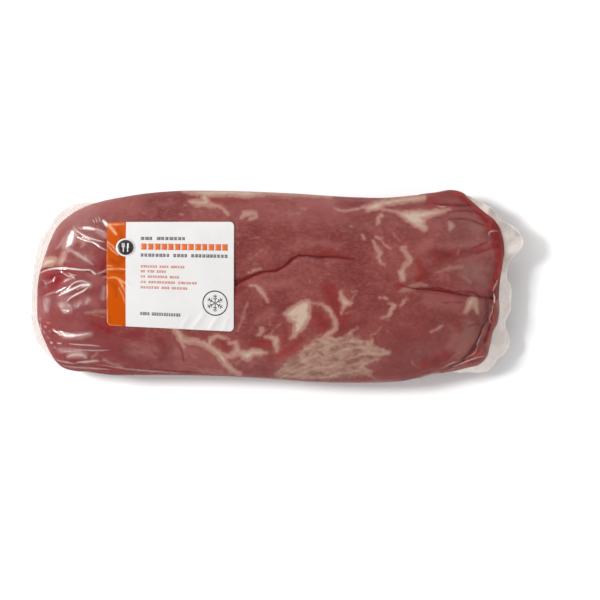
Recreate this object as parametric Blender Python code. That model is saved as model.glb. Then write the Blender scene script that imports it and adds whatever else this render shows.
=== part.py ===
"""Two trimmed loins of meat, side by side in a clear bag shrunk tight on them, with a paper label.

Metres, +Z up. The pack lies flat on the plane z = 0 with its length along X, its back
edge towards +Y and its origin under its middle. A point of its plan is written as a
share: 0 on the middle line, 1 on the widest line all round. Heights follow that share.
"""

import bmesh
import bpy
import numpy as np

# Driving sizes of the pack
CROWN = 0.0425  # highest line of the pack
SHOULDER = 0.0185  # height of its widest line
FLAT_SHARE = 0.74  # the underside is flat out to this share
DOME_POWER = 2.7  # how long the top stays level before it turns down
LEFT_TIP, RIGHT_TIP = -0.112, 0.098  # ends of the middle line

# Half widths of the plan, as places along X and distances from the middle line
BACK_EDGE = ((LEFT_TIP, 0.0626), (-0.098, 0.0650), (-0.076, 0.0672), (-0.037, 0.0675), (0.008, 0.0658),
             (0.053, 0.0630), (0.075, 0.0626), (RIGHT_TIP, 0.0646))
FRONT_EDGE = ((LEFT_TIP, 0.0627), (-0.067, 0.0627), (-0.022, 0.0641), (0.030, 0.0676),
              (0.075, 0.0676), (0.087, 0.0668), (RIGHT_TIP, 0.0645))

# Reach of the two rounded ends beyond the middle line, by angle from +Y in degrees
LEFT_END = ((0, 0.0626), (7, 0.0616), (20, 0.0610), (33, 0.0609), (44, 0.0603), (56, 0.0578),
            (65, 0.0561), (75, 0.0558), (86, 0.0562), (100, 0.0575), (114, 0.0611), (130, 0.0649),
            (139, 0.0678), (146, 0.0691), (152, 0.0674), (161, 0.0638), (171, 0.0627), (180, 0.0627))
RIGHT_END = ((0, 0.0646), (12, 0.0682), (19, 0.0722), (25, 0.0736), (31, 0.0718), (38, 0.0706),
             (45, 0.0712), (51, 0.0720), (57, 0.0706), (67, 0.0666), (77, 0.0612), (88, 0.0576),
             (98, 0.0576), (108, 0.0602), (116, 0.0618), (122, 0.0620), (130, 0.0658), (137, 0.0698),
             (143, 0.0702), (149, 0.0676), (158, 0.0650), (170, 0.0628), (180, 0.0645))

# The crease where the two loins meet, as places along X and Y, and its depths along X
CREASE_LINE = ((-0.172, 0.0110), (-0.158, 0.0116), (-0.148, 0.0110), (-0.137, 0.0092), (-0.117, 0.0058),
               (-0.080, -0.0006), (-0.030, -0.0018), (-0.0205, 0.0028), (-0.0105, 0.0071),
               (0.001, 0.0090), (0.0065, 0.0128), (0.0125, 0.0180), (0.018, 0.0188), (0.030, 0.0176),
               (0.037, 0.0180), (0.051, 0.0163), (0.0595, 0.0140), (0.074, 0.0057), (0.084, -0.0014),
               (0.092, -0.0038), (0.105, -0.0047), (0.117, -0.0062), (0.128, -0.0080),
               (0.140, -0.0086), (0.150, -0.0100))
CREASE_DEPTH = ((-0.170, 0.0024), (-0.140, 0.0018), (-0.120, 0.0012), (-0.090, 0.0005), (-0.045, 0.0005),
                (-0.025, 0.0014), (0.010, 0.0016), (0.045, 0.0014), (0.058, 0.0004), (0.076, 0.0004),
                (0.095, 0.0014), (0.130, 0.0020), (0.160, 0.0030))
CREASE_WIDTH = 0.0040

# Heights of the crown along X, and swellings of the meat: x, y, height, length, width
CROWN_LINE = ((-0.170, 0.0370), (-0.120, 0.0400), (-0.060, 0.0420), (0.020, CROWN),
              (0.090, 0.0415), (0.125, 0.0392), (0.160, 0.0350))
SWELLINGS = ((0.075, -0.030, 0.0012, 0.028, 0.016), (0.005, -0.036, -0.0013, 0.020, 0.018),
             (0.110, 0.030, 0.0014, 0.012, 0.018), (0.137, 0.024, -0.0016, 0.007, 0.022),
             (-0.005, 0.044, 0.0010, 0.030, 0.012), (0.052, 0.042, -0.0010, 0.014, 0.012),
             (0.118, -0.040, -0.0014, 0.008, 0.020), (-0.140, 0.030, -0.0012, 0.010, 0.014))

# Loose film at the ends: reach beyond the widest line by angle, height and thickness
LEFT_FILM = ((12, -0.0015), (18, 0.0010), (25, 0.0034), (38, 0.0056), (46, 0.0050), (54, 0.0054),
             (62, 0.0070), (70, 0.0056), (93, 0.0037), (105, 0.0039), (115, 0.0046), (125, 0.0048),
             (132, 0.0030), (138, 0.0012), (146, -0.0015))
RIGHT_FILM = ((20, -0.0015), (28, 0.0008), (36, 0.0034), (45, 0.0046), (52, 0.0026), (57, 0.0080),
              (62, 0.0121), (66, 0.0141), (70, 0.0122), (73.5, 0.0058), (80, 0.0040), (85, 0.0050),
              (90, 0.0083), (97, 0.0089), (104, 0.0082), (110, 0.0058), (116, 0.0072),
              (120.5, 0.0134), (125.5, 0.0136), (133, 0.0080), (140.5, 0.0060), (146, 0.0034),
              (152, 0.0016), (160, -0.0015))
LEFT_FILM_HEIGHT, RIGHT_FILM_HEIGHT = 0.0200, 0.0130
FILM_FOLD = 0.0014  # thickness of the folded film
FILM_ROOT = 0.006  # how far the film runs into the body
FILM_WAVE = 0.0014  # height of its waves
FILM_WAVES = 13.0  # waves in each radian round the end

# Paper label: its corners in plan, going round from the left back one
LABEL_CORNERS = ((-0.1183, 0.0427), (-0.0301, 0.0424), (-0.0300, -0.0340), (-0.1175, -0.0296))
LABEL_THICK = 0.0003
LABEL_GAP = 0.0004
LABEL_ROUND = 0.0035  # corner radius

# Mesh fineness
SIDE_STEPS, END_STEPS = 44, 35
TOP_RINGS, SIDE_RINGS = 22, 6
FILM_STEPS = 80


def smooth(at, stations):
    """A smooth curve through stations: cubic pieces that share their slopes."""
    xs, ys = np.array(stations, dtype=float).T
    slopes = np.gradient(ys, xs)
    i = np.clip(np.searchsorted(xs, at, side="right") - 1, 0, len(xs) - 2)
    span = xs[i + 1] - xs[i]
    t = np.clip((at - xs[i]) / span, 0.0, 1.0)
    rise = (1 - t) ** 2 * ((1 + 2 * t) * ys[i] + t * span * slopes[i])
    return rise + t * t * ((3 - 2 * t) * ys[i + 1] + (t - 1) * span * slopes[i + 1])


def plan_reach(x, y):
    """Distance of a plan point from the middle line, and of the widest line beyond it."""
    near = np.clip(x, LEFT_TIP, RIGHT_TIP)
    out = np.hypot(x - near, y)
    angle = np.degrees(np.arctan2(np.abs(x - near), y))
    side = np.where(y >= 0, smooth(near, BACK_EDGE), smooth(near, FRONT_EDGE))
    end = np.where(x < LEFT_TIP, smooth(angle, LEFT_END), smooth(angle, RIGHT_END))
    return out, np.where((x < LEFT_TIP) | (x > RIGHT_TIP), end, side)


def crown_height(x, y):
    """Height of the meat's top before it turns down: the crown line and the swellings."""
    height = smooth(x, CROWN_LINE)
    for cx, cy, rise, long_half, wide_half in SWELLINGS:
        height = height + rise * np.exp(-((x - cx) / long_half) ** 2 - ((y - cy) / wide_half) ** 2)
    return height


def top_height(x, y, creased=True):
    """Height of the pack's top: a dome over the shoulder, less the crease."""
    out, reach = plan_reach(x, y)
    share = np.clip(out / reach, 0.0, 1.0)
    dome = np.sqrt(1.0 - share ** DOME_POWER)
    rise = crown_height(x, y) - SHOULDER
    if creased:
        off = (y - smooth(x, CREASE_LINE)) / CREASE_WIDTH
        rise = rise - smooth(x, CREASE_DEPTH) / (1.0 + off * off) ** 1.5
    return SHOULDER + rise * dome


def under_height(share):
    """Height of the underside: flat, then a quarter round up to the shoulder."""
    turn = np.clip((share - FLAT_SHARE) / (1.0 - FLAT_SHARE), 0.0, 1.0)
    return SHOULDER * (1.0 - np.sqrt(1.0 - turn * turn))


def widest_line():
    """Points of the middle line and of the widest line that each faces, once round."""
    along = np.linspace(LEFT_TIP, RIGHT_TIP, SIDE_STEPS + 1)
    turn = np.radians(np.linspace(0.0, 180.0, END_STEPS + 1)[1:-1])
    right = np.stack([np.sin(turn), np.cos(turn)], axis=1)
    left = np.stack([-np.sin(turn), np.cos(turn)], axis=1)[::-1]
    level = np.zeros_like(along)
    middle = [np.stack([along, level], axis=1), np.tile((RIGHT_TIP, 0.0), (len(turn), 1)),
              np.stack([along[::-1], level], axis=1), np.tile((LEFT_TIP, 0.0), (len(turn), 1))]
    edge = [middle[0] + np.stack([level, smooth(along, BACK_EDGE)], axis=1),
            middle[1] + right * smooth(np.degrees(turn), RIGHT_END)[:, None],
            middle[2] - np.stack([level, smooth(along[::-1], FRONT_EDGE)], axis=1),
            middle[3] + left * smooth(np.degrees(turn[::-1]), LEFT_END)[:, None]]
    return np.concatenate(middle), np.concatenate(edge)


def new_object(name, points, faces, material):
    """A mesh object from points and faces, closed, with its faces turned outwards."""
    mesh = bpy.data.meshes.new(name)
    mesh.from_pydata([tuple(p) for p in points], [], faces)
    shape = bmesh.new()
    shape.from_mesh(mesh)
    bmesh.ops.remove_doubles(shape, verts=shape.verts, dist=1e-6)
    bmesh.ops.triangulate(shape, faces=shape.faces)
    bmesh.ops.recalc_face_normals(shape, faces=shape.faces)
    shape.to_mesh(mesh)
    shape.free()
    mesh.materials.append(material)
    mesh.shade_smooth()
    made = bpy.data.objects.new(name, mesh)
    bpy.context.collection.objects.link(made)
    return made


def ring_faces(rings, count, closed):
    """Four-sided faces between rings of count points, row after row."""
    last = count if closed else count - 1
    return [(r * count + i, r * count + (i + 1) % count,
             (r + 1) * count + (i + 1) % count, (r + 1) * count + i)
            for r in range(rings - 1) for i in range(last)]


def make_body(material):
    """The filled bag: rings run from the middle line over the top, round the side and under."""
    middle, edge = widest_line()
    turn = np.linspace(0.0, 1.0, TOP_RINGS + 1)
    top_shares = 1.0 - (1.0 - turn) ** 1.55
    side_turn = np.linspace(0.0, 0.5 * np.pi, SIDE_RINGS + 1)[1:]
    side_shares = FLAT_SHARE + (1.0 - FLAT_SHARE) * np.cos(side_turn)
    rings = []
    for share in top_shares:
        plan = middle + share * (edge - middle)
        rings.append(np.column_stack([plan, top_height(plan[:, 0], plan[:, 1])]))
    for share in (*side_shares, 0.0):
        plan = middle + share * (edge - middle)
        rings.append(np.column_stack([plan, np.full(len(plan), under_height(share))]))
    points = np.concatenate(rings)
    return new_object("vacuum_bag", points, ring_faces(len(rings), len(middle), True), material)


def make_film(name, tip, side, end, reaches, height, material):
    """Loose film at one end: a thin waved sheet from inside the body to its frilled edge."""
    angle = np.linspace(reaches[0][0], reaches[-1][0], FILM_STEPS + 1)
    line = smooth(angle, end)
    loose = smooth(angle, reaches)
    turn = np.radians(angle)
    way = np.stack([side * np.sin(turn), np.cos(turn)], axis=1)
    outer, inner = [], []
    for share in np.linspace(0.0, 1.0, 5):
        far = line - FILM_ROOT + share * (FILM_ROOT + np.maximum(loose, -0.5 * FILM_ROOT))
        plan = np.array((tip, 0.0)) + way * far[:, None]
        wave = np.sin(FILM_WAVES * turn + share) + 0.6 * np.sin(1.7 * FILM_WAVES * turn)
        lift = height + FILM_WAVE * share * wave
        half = 0.5 * FILM_FOLD * (1.0 - 0.25 * share)
        outer.append(np.column_stack([plan, lift + half]))
        inner.append(np.column_stack([plan, lift - half]))
    count = FILM_STEPS + 1
    points = np.concatenate(outer + inner[::-1])
    rows = len(outer) + len(inner)
    faces = ring_faces(rows, count, False)
    faces += [((rows - 1) * count + i, (rows - 1) * count + i + 1, i + 1, i)
              for i in range(FILM_STEPS)]
    faces += [[r * count + column for r in range(rows)] for column in (0, FILM_STEPS)]
    return new_object(name, points, faces, material)


def join_to(body, film):
    """Fuse the film to the body with a Boolean union, then drop the film's own object."""
    union = body.modifiers.new(film.name, "BOOLEAN")
    union.operation = "UNION"
    union.solver = "EXACT"
    union.object = film
    bpy.context.view_layer.update()
    fused = bpy.data.meshes.new_from_object(body.evaluated_get(bpy.context.evaluated_depsgraph_get()))
    body.modifiers.clear()
    body.data = fused
    bpy.data.objects.remove(film)


def make_label(material):
    """The paper label: a grid stretched between its four corners and laid on the uncreased top."""
    a, b, c, d = (np.array(corner) for corner in LABEL_CORNERS)
    width = 0.5 * (np.linalg.norm(b - a) + np.linalg.norm(c - d))
    height = 0.5 * (np.linalg.norm(d - a) + np.linalg.norm(c - b))
    u_round, v_round = LABEL_ROUND / width, LABEL_ROUND / height
    u = np.concatenate([[0.0], np.linspace(u_round, 1.0 - u_round, 17), [1.0]])
    v = np.concatenate([[0.0], np.linspace(v_round, 1.0 - v_round, 15), [1.0]])
    uu, vv = np.meshgrid(u, v)
    cut = 1.0 - np.sqrt(0.5)
    corner = ((uu == 0) | (uu == 1)) & ((vv == 0) | (vv == 1))
    uu = np.where(corner, uu + np.where(uu == 0, 1, -1) * cut * u_round, uu)
    vv = np.where(corner, vv + np.where(vv == 0, 1, -1) * cut * v_round, vv)
    uu, vv = uu[..., None], vv[..., None]
    plan = (1 - vv) * ((1 - uu) * a + uu * b) + vv * ((1 - uu) * d + uu * c)
    x, y = plan[..., 0].ravel(), plan[..., 1].ravel()
    low = top_height(x, y, creased=False) + LABEL_GAP
    count, rows = len(u), len(v)
    size = count * rows
    points = np.concatenate([np.column_stack([x, y, low + LABEL_THICK]), np.column_stack([x, y, low])])
    faces = ring_faces(rows, count, False)
    faces += [tuple(size + i for i in reversed(face)) for face in faces]
    rim = ([i for i in range(count)] + [r * count + count - 1 for r in range(1, rows)]
           + [(rows - 1) * count + i for i in range(count - 2, -1, -1)]
           + [r * count for r in range(rows - 2, 0, -1)])
    faces += [(p, p + size, q + size, q) for p, q in zip(rim, rim[1:] + rim[:1])]
    return new_object("label", points, faces, material)


def finish(name, colour, roughness):
    """A plain Principled material."""
    material = bpy.data.materials.new(name)
    material.use_nodes = True
    shader = material.node_tree.nodes["Principled BSDF"]
    shader.inputs["Base Color"].default_value = (*colour, 1.0)
    shader.inputs["Roughness"].default_value = roughness
    shader.inputs["Metallic"].default_value = 0.0
    return material


def centre_under(objects):
    """Move every mesh so that the middle of the pack's underside is the origin."""
    reach = np.array([vertex.co for made in objects for vertex in made.data.vertices])
    middle = 0.5 * (reach.min(axis=0) + reach.max(axis=0))
    for made in objects:
        for vertex in made.data.vertices:
            vertex.co.x -= middle[0]
            vertex.co.y -= middle[1]


for old in list(bpy.data.objects):
    bpy.data.objects.remove(old)

meat_in_film = finish("meat_in_film", (0.29, 0.072, 0.066), 0.32)
paper = finish("label_paper", (0.84, 0.84, 0.85), 0.45)

pack = make_body(meat_in_film)
join_to(pack, make_film("left_film", LEFT_TIP, -1.0, LEFT_END, LEFT_FILM, LEFT_FILM_HEIGHT,
                        meat_in_film))
join_to(pack, make_film("right_film", RIGHT_TIP, 1.0, RIGHT_END, RIGHT_FILM, RIGHT_FILM_HEIGHT,
                        meat_in_film))
label = make_label(paper)
centre_under([pack, label])
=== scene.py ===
"""Two trimmed loins of meat in a clear bag shrunk tight on them, with a paper label: the looks.

The form is the solid's own: the same named sizes and formulas give its dome, its crease
and its ends, and the meat, the film and the label are laid on them. Marks on the meat and
folds in the film are strokes whose points are places in the photograph, in its pixels.
All else is in metres.
"""

import math

import bmesh
import bpy
import numpy as np
from bpy.props import FloatProperty, FloatVectorProperty, IntProperty, PointerProperty
from mathutils import Matrix, Vector


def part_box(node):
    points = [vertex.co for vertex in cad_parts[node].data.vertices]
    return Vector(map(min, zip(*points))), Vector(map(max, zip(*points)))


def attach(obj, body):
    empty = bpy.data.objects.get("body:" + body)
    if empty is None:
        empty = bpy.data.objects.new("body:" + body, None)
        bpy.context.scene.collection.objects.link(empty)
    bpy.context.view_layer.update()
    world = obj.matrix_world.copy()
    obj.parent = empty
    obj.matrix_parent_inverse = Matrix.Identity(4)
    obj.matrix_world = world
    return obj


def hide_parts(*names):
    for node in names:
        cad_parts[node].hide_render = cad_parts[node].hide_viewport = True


bl_info = {
    "name": "Vacuum-packed meat",
    "version": (1, 0, 0),
    "blender": (4, 5, 0),
    "location": "3D View > Sidebar > Meat Pack",
    "description": "Meat, film, folds and label of a vacuum pack, over its solid frame",
    "category": "Add Mesh",
}

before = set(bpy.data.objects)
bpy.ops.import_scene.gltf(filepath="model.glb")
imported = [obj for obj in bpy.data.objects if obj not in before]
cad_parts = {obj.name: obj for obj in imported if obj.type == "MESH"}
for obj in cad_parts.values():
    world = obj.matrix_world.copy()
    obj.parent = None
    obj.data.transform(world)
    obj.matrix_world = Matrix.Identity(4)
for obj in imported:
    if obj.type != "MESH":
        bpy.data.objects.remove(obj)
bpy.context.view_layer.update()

# Form of the pack, as its solid has it
CROWN = 0.0425
SHOULDER = 0.0185
FLAT_SHARE = 0.74
DOME_POWER = 2.7
LEFT_TIP, RIGHT_TIP = -0.112, 0.098
BACK_EDGE = ((LEFT_TIP, 0.0626), (-0.098, 0.0650), (-0.076, 0.0672), (-0.037, 0.0675), (0.008, 0.0658),
             (0.053, 0.0630), (0.075, 0.0626), (RIGHT_TIP, 0.0646))
FRONT_EDGE = ((LEFT_TIP, 0.0627), (-0.067, 0.0627), (-0.022, 0.0641), (0.030, 0.0676),
              (0.075, 0.0676), (0.087, 0.0668), (RIGHT_TIP, 0.0645))
LEFT_END = ((0, 0.0626), (7, 0.0616), (20, 0.0610), (33, 0.0609), (44, 0.0603), (56, 0.0578),
            (65, 0.0561), (75, 0.0558), (86, 0.0562), (100, 0.0575), (114, 0.0611), (130, 0.0649),
            (139, 0.0678), (146, 0.0691), (152, 0.0674), (161, 0.0638), (171, 0.0627), (180, 0.0627))
RIGHT_END = ((0, 0.0646), (12, 0.0682), (19, 0.0722), (25, 0.0736), (31, 0.0718), (38, 0.0706),
             (45, 0.0712), (51, 0.0720), (57, 0.0706), (67, 0.0666), (77, 0.0612), (88, 0.0576),
             (98, 0.0576), (108, 0.0602), (116, 0.0618), (122, 0.0620), (130, 0.0658), (137, 0.0698),
             (143, 0.0702), (149, 0.0676), (158, 0.0650), (170, 0.0628), (180, 0.0645))
CREASE_LINE = ((-0.172, 0.0110), (-0.158, 0.0116), (-0.148, 0.0110), (-0.137, 0.0092), (-0.117, 0.0058),
               (-0.080, -0.0006), (-0.030, -0.0018), (-0.0205, 0.0028), (-0.0105, 0.0071),
               (0.001, 0.0090), (0.0065, 0.0128), (0.0125, 0.0180), (0.018, 0.0188), (0.030, 0.0176),
               (0.037, 0.0180), (0.051, 0.0163), (0.0595, 0.0140), (0.074, 0.0057), (0.084, -0.0014),
               (0.092, -0.0038), (0.105, -0.0047), (0.117, -0.0062), (0.128, -0.0080),
               (0.140, -0.0086), (0.150, -0.0100))
CREASE_DEPTH = ((-0.170, 0.0024), (-0.140, 0.0018), (-0.120, 0.0012), (-0.090, 0.0005), (-0.045, 0.0005),
                (-0.025, 0.0014), (0.010, 0.0016), (0.045, 0.0014), (0.058, 0.0004), (0.076, 0.0004),
                (0.095, 0.0014), (0.130, 0.0020), (0.160, 0.0030))
CREASE_WIDTH = 0.0040
CROWN_LINE = ((-0.170, 0.0370), (-0.120, 0.0400), (-0.060, 0.0420), (0.020, CROWN),
              (0.090, 0.0415), (0.125, 0.0392), (0.160, 0.0350))
SWELLINGS = ((0.075, -0.030, 0.0012, 0.028, 0.016), (0.005, -0.036, -0.0013, 0.020, 0.018),
             (0.110, 0.030, 0.0014, 0.012, 0.018), (0.137, 0.024, -0.0016, 0.007, 0.022),
             (-0.005, 0.044, 0.0010, 0.030, 0.012), (0.052, 0.042, -0.0010, 0.014, 0.012),
             (0.118, -0.040, -0.0014, 0.008, 0.020), (-0.140, 0.030, -0.0012, 0.010, 0.014))
LEFT_FILM = ((12, -0.0015), (18, 0.0010), (25, 0.0034), (38, 0.0056), (46, 0.0050), (54, 0.0054),
             (62, 0.0070), (70, 0.0056), (93, 0.0037), (105, 0.0039), (115, 0.0046), (125, 0.0048),
             (132, 0.0030), (138, 0.0012), (146, -0.0015))
RIGHT_FILM = ((20, -0.0015), (28, 0.0008), (36, 0.0034), (45, 0.0046), (52, 0.0026), (57, 0.0080),
              (62, 0.0121), (66, 0.0141), (70, 0.0122), (73.5, 0.0058), (80, 0.0040), (85, 0.0050),
              (90, 0.0083), (97, 0.0089), (104, 0.0082), (110, 0.0058), (116, 0.0072),
              (120.5, 0.0134), (125.5, 0.0136), (133, 0.0080), (140.5, 0.0060), (146, 0.0034),
              (152, 0.0016), (160, -0.0015))
LEFT_HEIGHTS = ((0, 0.020), (90, 0.018), (180, 0.019))
RIGHT_HEIGHTS = ((20, 0.0180), (55, 0.0200), (72, 0.0190), (88, 0.0150), (110, 0.0125), (150, 0.0110))
LABEL_CORNERS = ((-0.1183, 0.0427), (-0.0301, 0.0424), (-0.0300, -0.0340), (-0.1175, -0.0296))
LABEL_WIDTH, LABEL_HEIGHT = 0.0882, 0.0764

# The plan above is drawn about the photograph's scale, and the solid about its own middle
LABEL_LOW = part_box("label")[0]
SHIFT = (LABEL_LOW.x - min(x for x, y in LABEL_CORNERS), LABEL_LOW.y - min(y for x, y in LABEL_CORNERS))

# Where the front loin stops short of the film at the right end, from the crease outwards
END_EDGE = ((0.1462, -0.0100), (0.1460, -0.0248), (0.1418, -0.0300), (0.1368, -0.0440),
            (0.1272, -0.0546), (0.1165, -0.0598))

# The camera looks down on the pack from the front, a little off the vertical
CAMERA_LIFT = 84.0
CAMERA_FAR = 1.30
PHOTO_SIDE = 600
PIXEL = 0.0007
VIEW_MIDDLE = (0.0154, -0.0098, SHOULDER)
SENSOR = 36.0
LENS = SENSOR * CAMERA_FAR / (PHOTO_SIDE * PIXEL)

# The lamp: the way to it from the pack, its distance, the side of its square and its power
KEY_WAY = (-0.730, 0.134, 0.670)
KEY_FAR, KEY_SIDE, KEY_POWER = 3.0, 0.68, 80.0

# Gentle unevenness of the top, and the millimetre that small heights are given in
LUMP_LENGTH, LUMP_SEED = 0.036, 3
MM = 0.001

# Print: thickness of the ink, and how high over the paper each layer of it starts
INK_THICK = 0.00003
FIRST_LAYER, RIM_LAYER, BADGE_LAYER, SIGN_LAYER = 0.00004, 0.00005, 0.00010, 0.00015

# Label: corner radius, the band's share of the width, and the print's grid step in millimetres
CORNER_RADIUS = 0.0032
BAND_SHARE = 13.3 / 88.9
SLIP_STEP = 1.2

# Share of the light that flat film mirrors
MIRROR = 0.016

# Colours of the film's milky places, of clear film out of and in its creases, and of the juice; on the clear
# film and its folds the pink and white also paint glints and reflection
MILK_AND_GLINT_PINK = (0.90, 0.66, 0.63, 1.0)
MILK_AND_GLINT_WHITE = (0.90, 0.88, 0.87, 1.0)
VEIL_CREAM = (0.74, 0.69, 0.655, 1.0)
VEIL_DULL, VEIL_LIGHT = (0.43, 0.388, 0.368, 1.0), (0.895, 0.82, 0.775, 1.0)
FILM_TINT, FOLD_TINT = (0.985, 0.98, 0.975, 1.0), (0.99, 0.985, 0.98, 1.0)
LEFT_TINT, LEFT_CREASE = (0.935, 0.905, 0.885, 1.0), (0.83, 0.81, 0.79, 1.0)
RIGHT_TINT, RIGHT_CREASE = (0.860, 0.835, 0.825, 1.0), (0.89, 0.79, 0.69, 1.0)
JUICE_DARK, JUICE_LIGHT = (0.165, 0.010, 0.011, 1.0), (0.275, 0.034, 0.019, 1.0)

# Colours on the meat, darker one first where there are two
FAT_THIN, FAT_THICK = (0.350, 0.178, 0.140, 1.0), (0.505, 0.385, 0.305, 1.0)
ROSY_SHADE = (0.178, 0.024, 0.027, 1.0)
BLOOD_DARK, BLOOD_LIGHT = (0.165, 0.013, 0.013, 1.0), (0.245, 0.022, 0.019, 1.0)
RIM_DARK, RIM_LIGHT = (0.215, 0.010, 0.012, 1.0), (0.350, 0.022, 0.019, 1.0)
SKIN_AND_REFLECTION_GREY = (0.275, 0.135, 0.115, 1.0)
SKIN_DARK, SKIN_STRAND = (0.205, 0.082, 0.066, 1.0), (0.415, 0.280, 0.215, 1.0)
HAIR, PIT, CUT = (0.43, 0.305, 0.235, 1.0), (0.165, 0.058, 0.050, 1.0), (0.120, 0.006, 0.008, 1.0)

# Colours of the print
BAND_GLINT = (0.80, 0.47, 0.27, 1.0)
GREY_INK, BOLD_INK, WHITE_INK = (0.16, 0.16, 0.17, 1.0), (0.60, 0.125, 0.024, 1.0), (0.68, 0.67, 0.66, 1.0)

# Depth of a place that lies in no stroke
FAR_OUT = -9.0

# Strokes on the meat: chains of round dabs, each a photograph x, y and radius in pixels
FAT = (
    # Back loin: edge band, hanging blob and its tail
    ((184, 191.5, 1.0), (200, 192.5, 3.6), (208, 193, 4.0), (232, 192.5, 4.0), (246, 193.5, 4.6),
     (256, 193, 3.6), (270, 193, 1.8), (300, 195, 1.4), (331, 197, 1.0)),
    ((191, 201.5, 2.6), (199, 203, 3.8), (206, 202.5, 4.0), (204.5, 197.5, 4.6)),
    ((209, 204.5, 2.4), (218.5, 206.2, 1.3), (223.6, 209.4, 1.1), (228, 214.5, 1.4)),
    # Curl above the label's corner
    ((241.5, 217.2, 1.4), (245.4, 213.8, 2.8), (251.8, 212.8, 2.2), (256, 213.8, 1.6), (255.4, 217, 1.4),
     (250, 218.6, 1.5)),
    # Strip along the back edge and the line that leads to it
    ((368, 208.4, 3.4), (376, 205.8, 4.6), (384, 203.2, 3.4), (394, 201.3, 3.4), (410, 199.4, 3.2),
     (423.5, 197.8, 2.8)), ((335, 209.8, 0.5), (344, 210.8, 0.8), (352, 210, 0.8), (366, 206.8, 0.9)),
    ((382.6, 209.4, 0.9), (391, 210.8, 1.1), (397, 211.3, 1.2)),
    # Large three-cornered patch
    ((397, 212.5, 1.6), (403, 214.4, 3.8), (410, 216.8, 6.2), (416, 219, 6.8), (420.6, 221.4, 5.4)),
    ((412, 215.4, 5.4), (423, 214.8, 4.4), (432, 213.2, 3.8), (442, 211.4, 2.6), (450, 209.3, 1.0)),
    ((417, 223, 4.6), (424.6, 227.6, 3.2)),
    # Dabs and strokes between them
    ((381.4, 215.4, 1.8), (378.6, 218, 2.0), (377.4, 223, 1.4)), ((362.7, 235.6, 1.0), (364.2, 238.4, 1.2)),
    ((373, 240, 0.8), (375, 245.3, 1.6), (378, 251, 2.4), (380.3, 253.4, 2.3), (378, 258, 1.2),
     (381.6, 263.4, 1.1), (384.5, 265.2, 0.6)),
    ((375.5, 237.4, 0.8), (380.6, 238.6, 1.2), (384, 244, 0.8), (390.3, 248.6, 0.6)),
    ((402, 248, 1.9), (405.4, 252.6, 2.2), (410, 259, 2.6), (410.6, 262, 1.9), (405.6, 264.6, 2.4),
     (403.7, 268, 2.0), (401.4, 273, 3.4), (403, 279, 2.6)), ((405.8, 246.8, 0.9), (402, 248, 1.6)),
    ((449, 221.6, 1.0), (451.2, 226, 2.9), (450, 230, 1.2)),
    ((248.8, 272.8, 0.7), (254.4, 270.4, 1.1), (260, 269, 0.7)),
    # Front loin: tapered stroke under the crease
    ((250, 285.4, 0.7), (256, 285.6, 1.3), (260, 289.5, 2.1), (263.8, 295, 1.7), (267.7, 301.5, 0.8)),
    # Largest patch and its tail
    ((285.6, 314.4, 2.2), (292.6, 313.6, 6.6), (299.6, 310.8, 8.8), (305, 306, 6.4), (309, 302.4, 2.6)),
    ((302.4, 315, 8.4), (300, 323.4, 6.8), (297.4, 330, 4.8), (294.6, 335, 2.6), (290.5, 338.5, 1.0)),
    ((288, 316.8, 2.4), (293.6, 318.6, 4.4), (299, 321, 5.0)),
    # Arc beside it
    ((313, 303.2, 0.7), (321.5, 304.7, 1.2), (326.7, 308, 1.9), (331.2, 312.4, 2.2), (333.8, 317.6, 2.1),
     (335.6, 323.3, 2.0), (335.4, 328.5, 2.2), (331.2, 331.9, 2.0), (325.4, 335.5, 1.4)),
    ((340.6, 291.5, 1.2), (341.4, 297.7, 2.4), (345.4, 302.6, 4.2), (349.6, 303.4, 2.2)),
    ((344.6, 304, 2.4), (343.4, 308.8, 1.6), (341, 313.4, 0.8)),
    ((265.4, 337.2, 1.2), (272, 337, 2.6), (275.8, 339.4, 3.4), (276, 345, 2.8), (276.8, 351, 1.2)),
    ((261.8, 329.4, 2.4), (260.4, 333.6, 2.0), (256.4, 335.4, 0.8)),
    # Band that runs from under the label to the front edge, round a red hole
    ((174, 328, 2.6), (178.6, 334, 3.4), (182, 340.2, 3.2), (188.2, 340.8, 2.8), (197.2, 341.4, 3.2),
     (204, 343.6, 2.8), (211.3, 348.4, 3.0), (218.4, 353.4, 3.8), (223, 358.6, 4.2), (225.4, 364, 3.0),
     (231, 369.4, 2.8), (240, 374, 1.8)), ((181, 342, 1.8), (184.6, 347.2, 0.8)),
    ((209, 345, 2.0), (210.6, 339.4, 2.2), (217.6, 335.4, 1.8), (224.2, 337.6, 1.6), (228.4, 339.6, 0.9)),
    ((229, 343.2, 1.3), (235.4, 342.8, 2.2), (237, 347, 2.4), (237.4, 351.6, 3.4), (231, 355.8, 2.6),
     (224, 357.6, 2.8)),
    ((240, 353.6, 3.2), (247.2, 355.4, 5.4), (253, 352.4, 4.2), (261.3, 352.6, 3.0), (266, 352.8, 1.0)),
    # Small strokes to the right
    ((379.6, 297.8, 0.8), (386.6, 298.4, 1.0)),
    ((389.4, 303.4, 1.0), (394.4, 306, 2.0), (391, 309.6, 1.8), (390.6, 313, 1.8), (385.6, 316.9, 1.1),
     (380.4, 318.4, 0.8)), ((406, 299.2, 1.3), (400.6, 305.2, 0.7)),
    ((472.8, 297.4, 2.8), (470.4, 303.6, 4.0), (465.8, 311.4, 2.6)),
    ((474.4, 299, 2.8), (475.8, 307, 2.8), (477.4, 312.6, 1.2)),
    ((431, 331.8, 0.5), (436.9, 329.2, 1.1), (442, 326, 0.6)),
    # Left end, behind the crease
    ((41, 266, 2.6), (47, 262.5, 5.2), (53, 261, 4.4)),
    ((59.6, 263, 2.6), (62.6, 258, 3.0), (65.4, 252.4, 2.2)),
)
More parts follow.
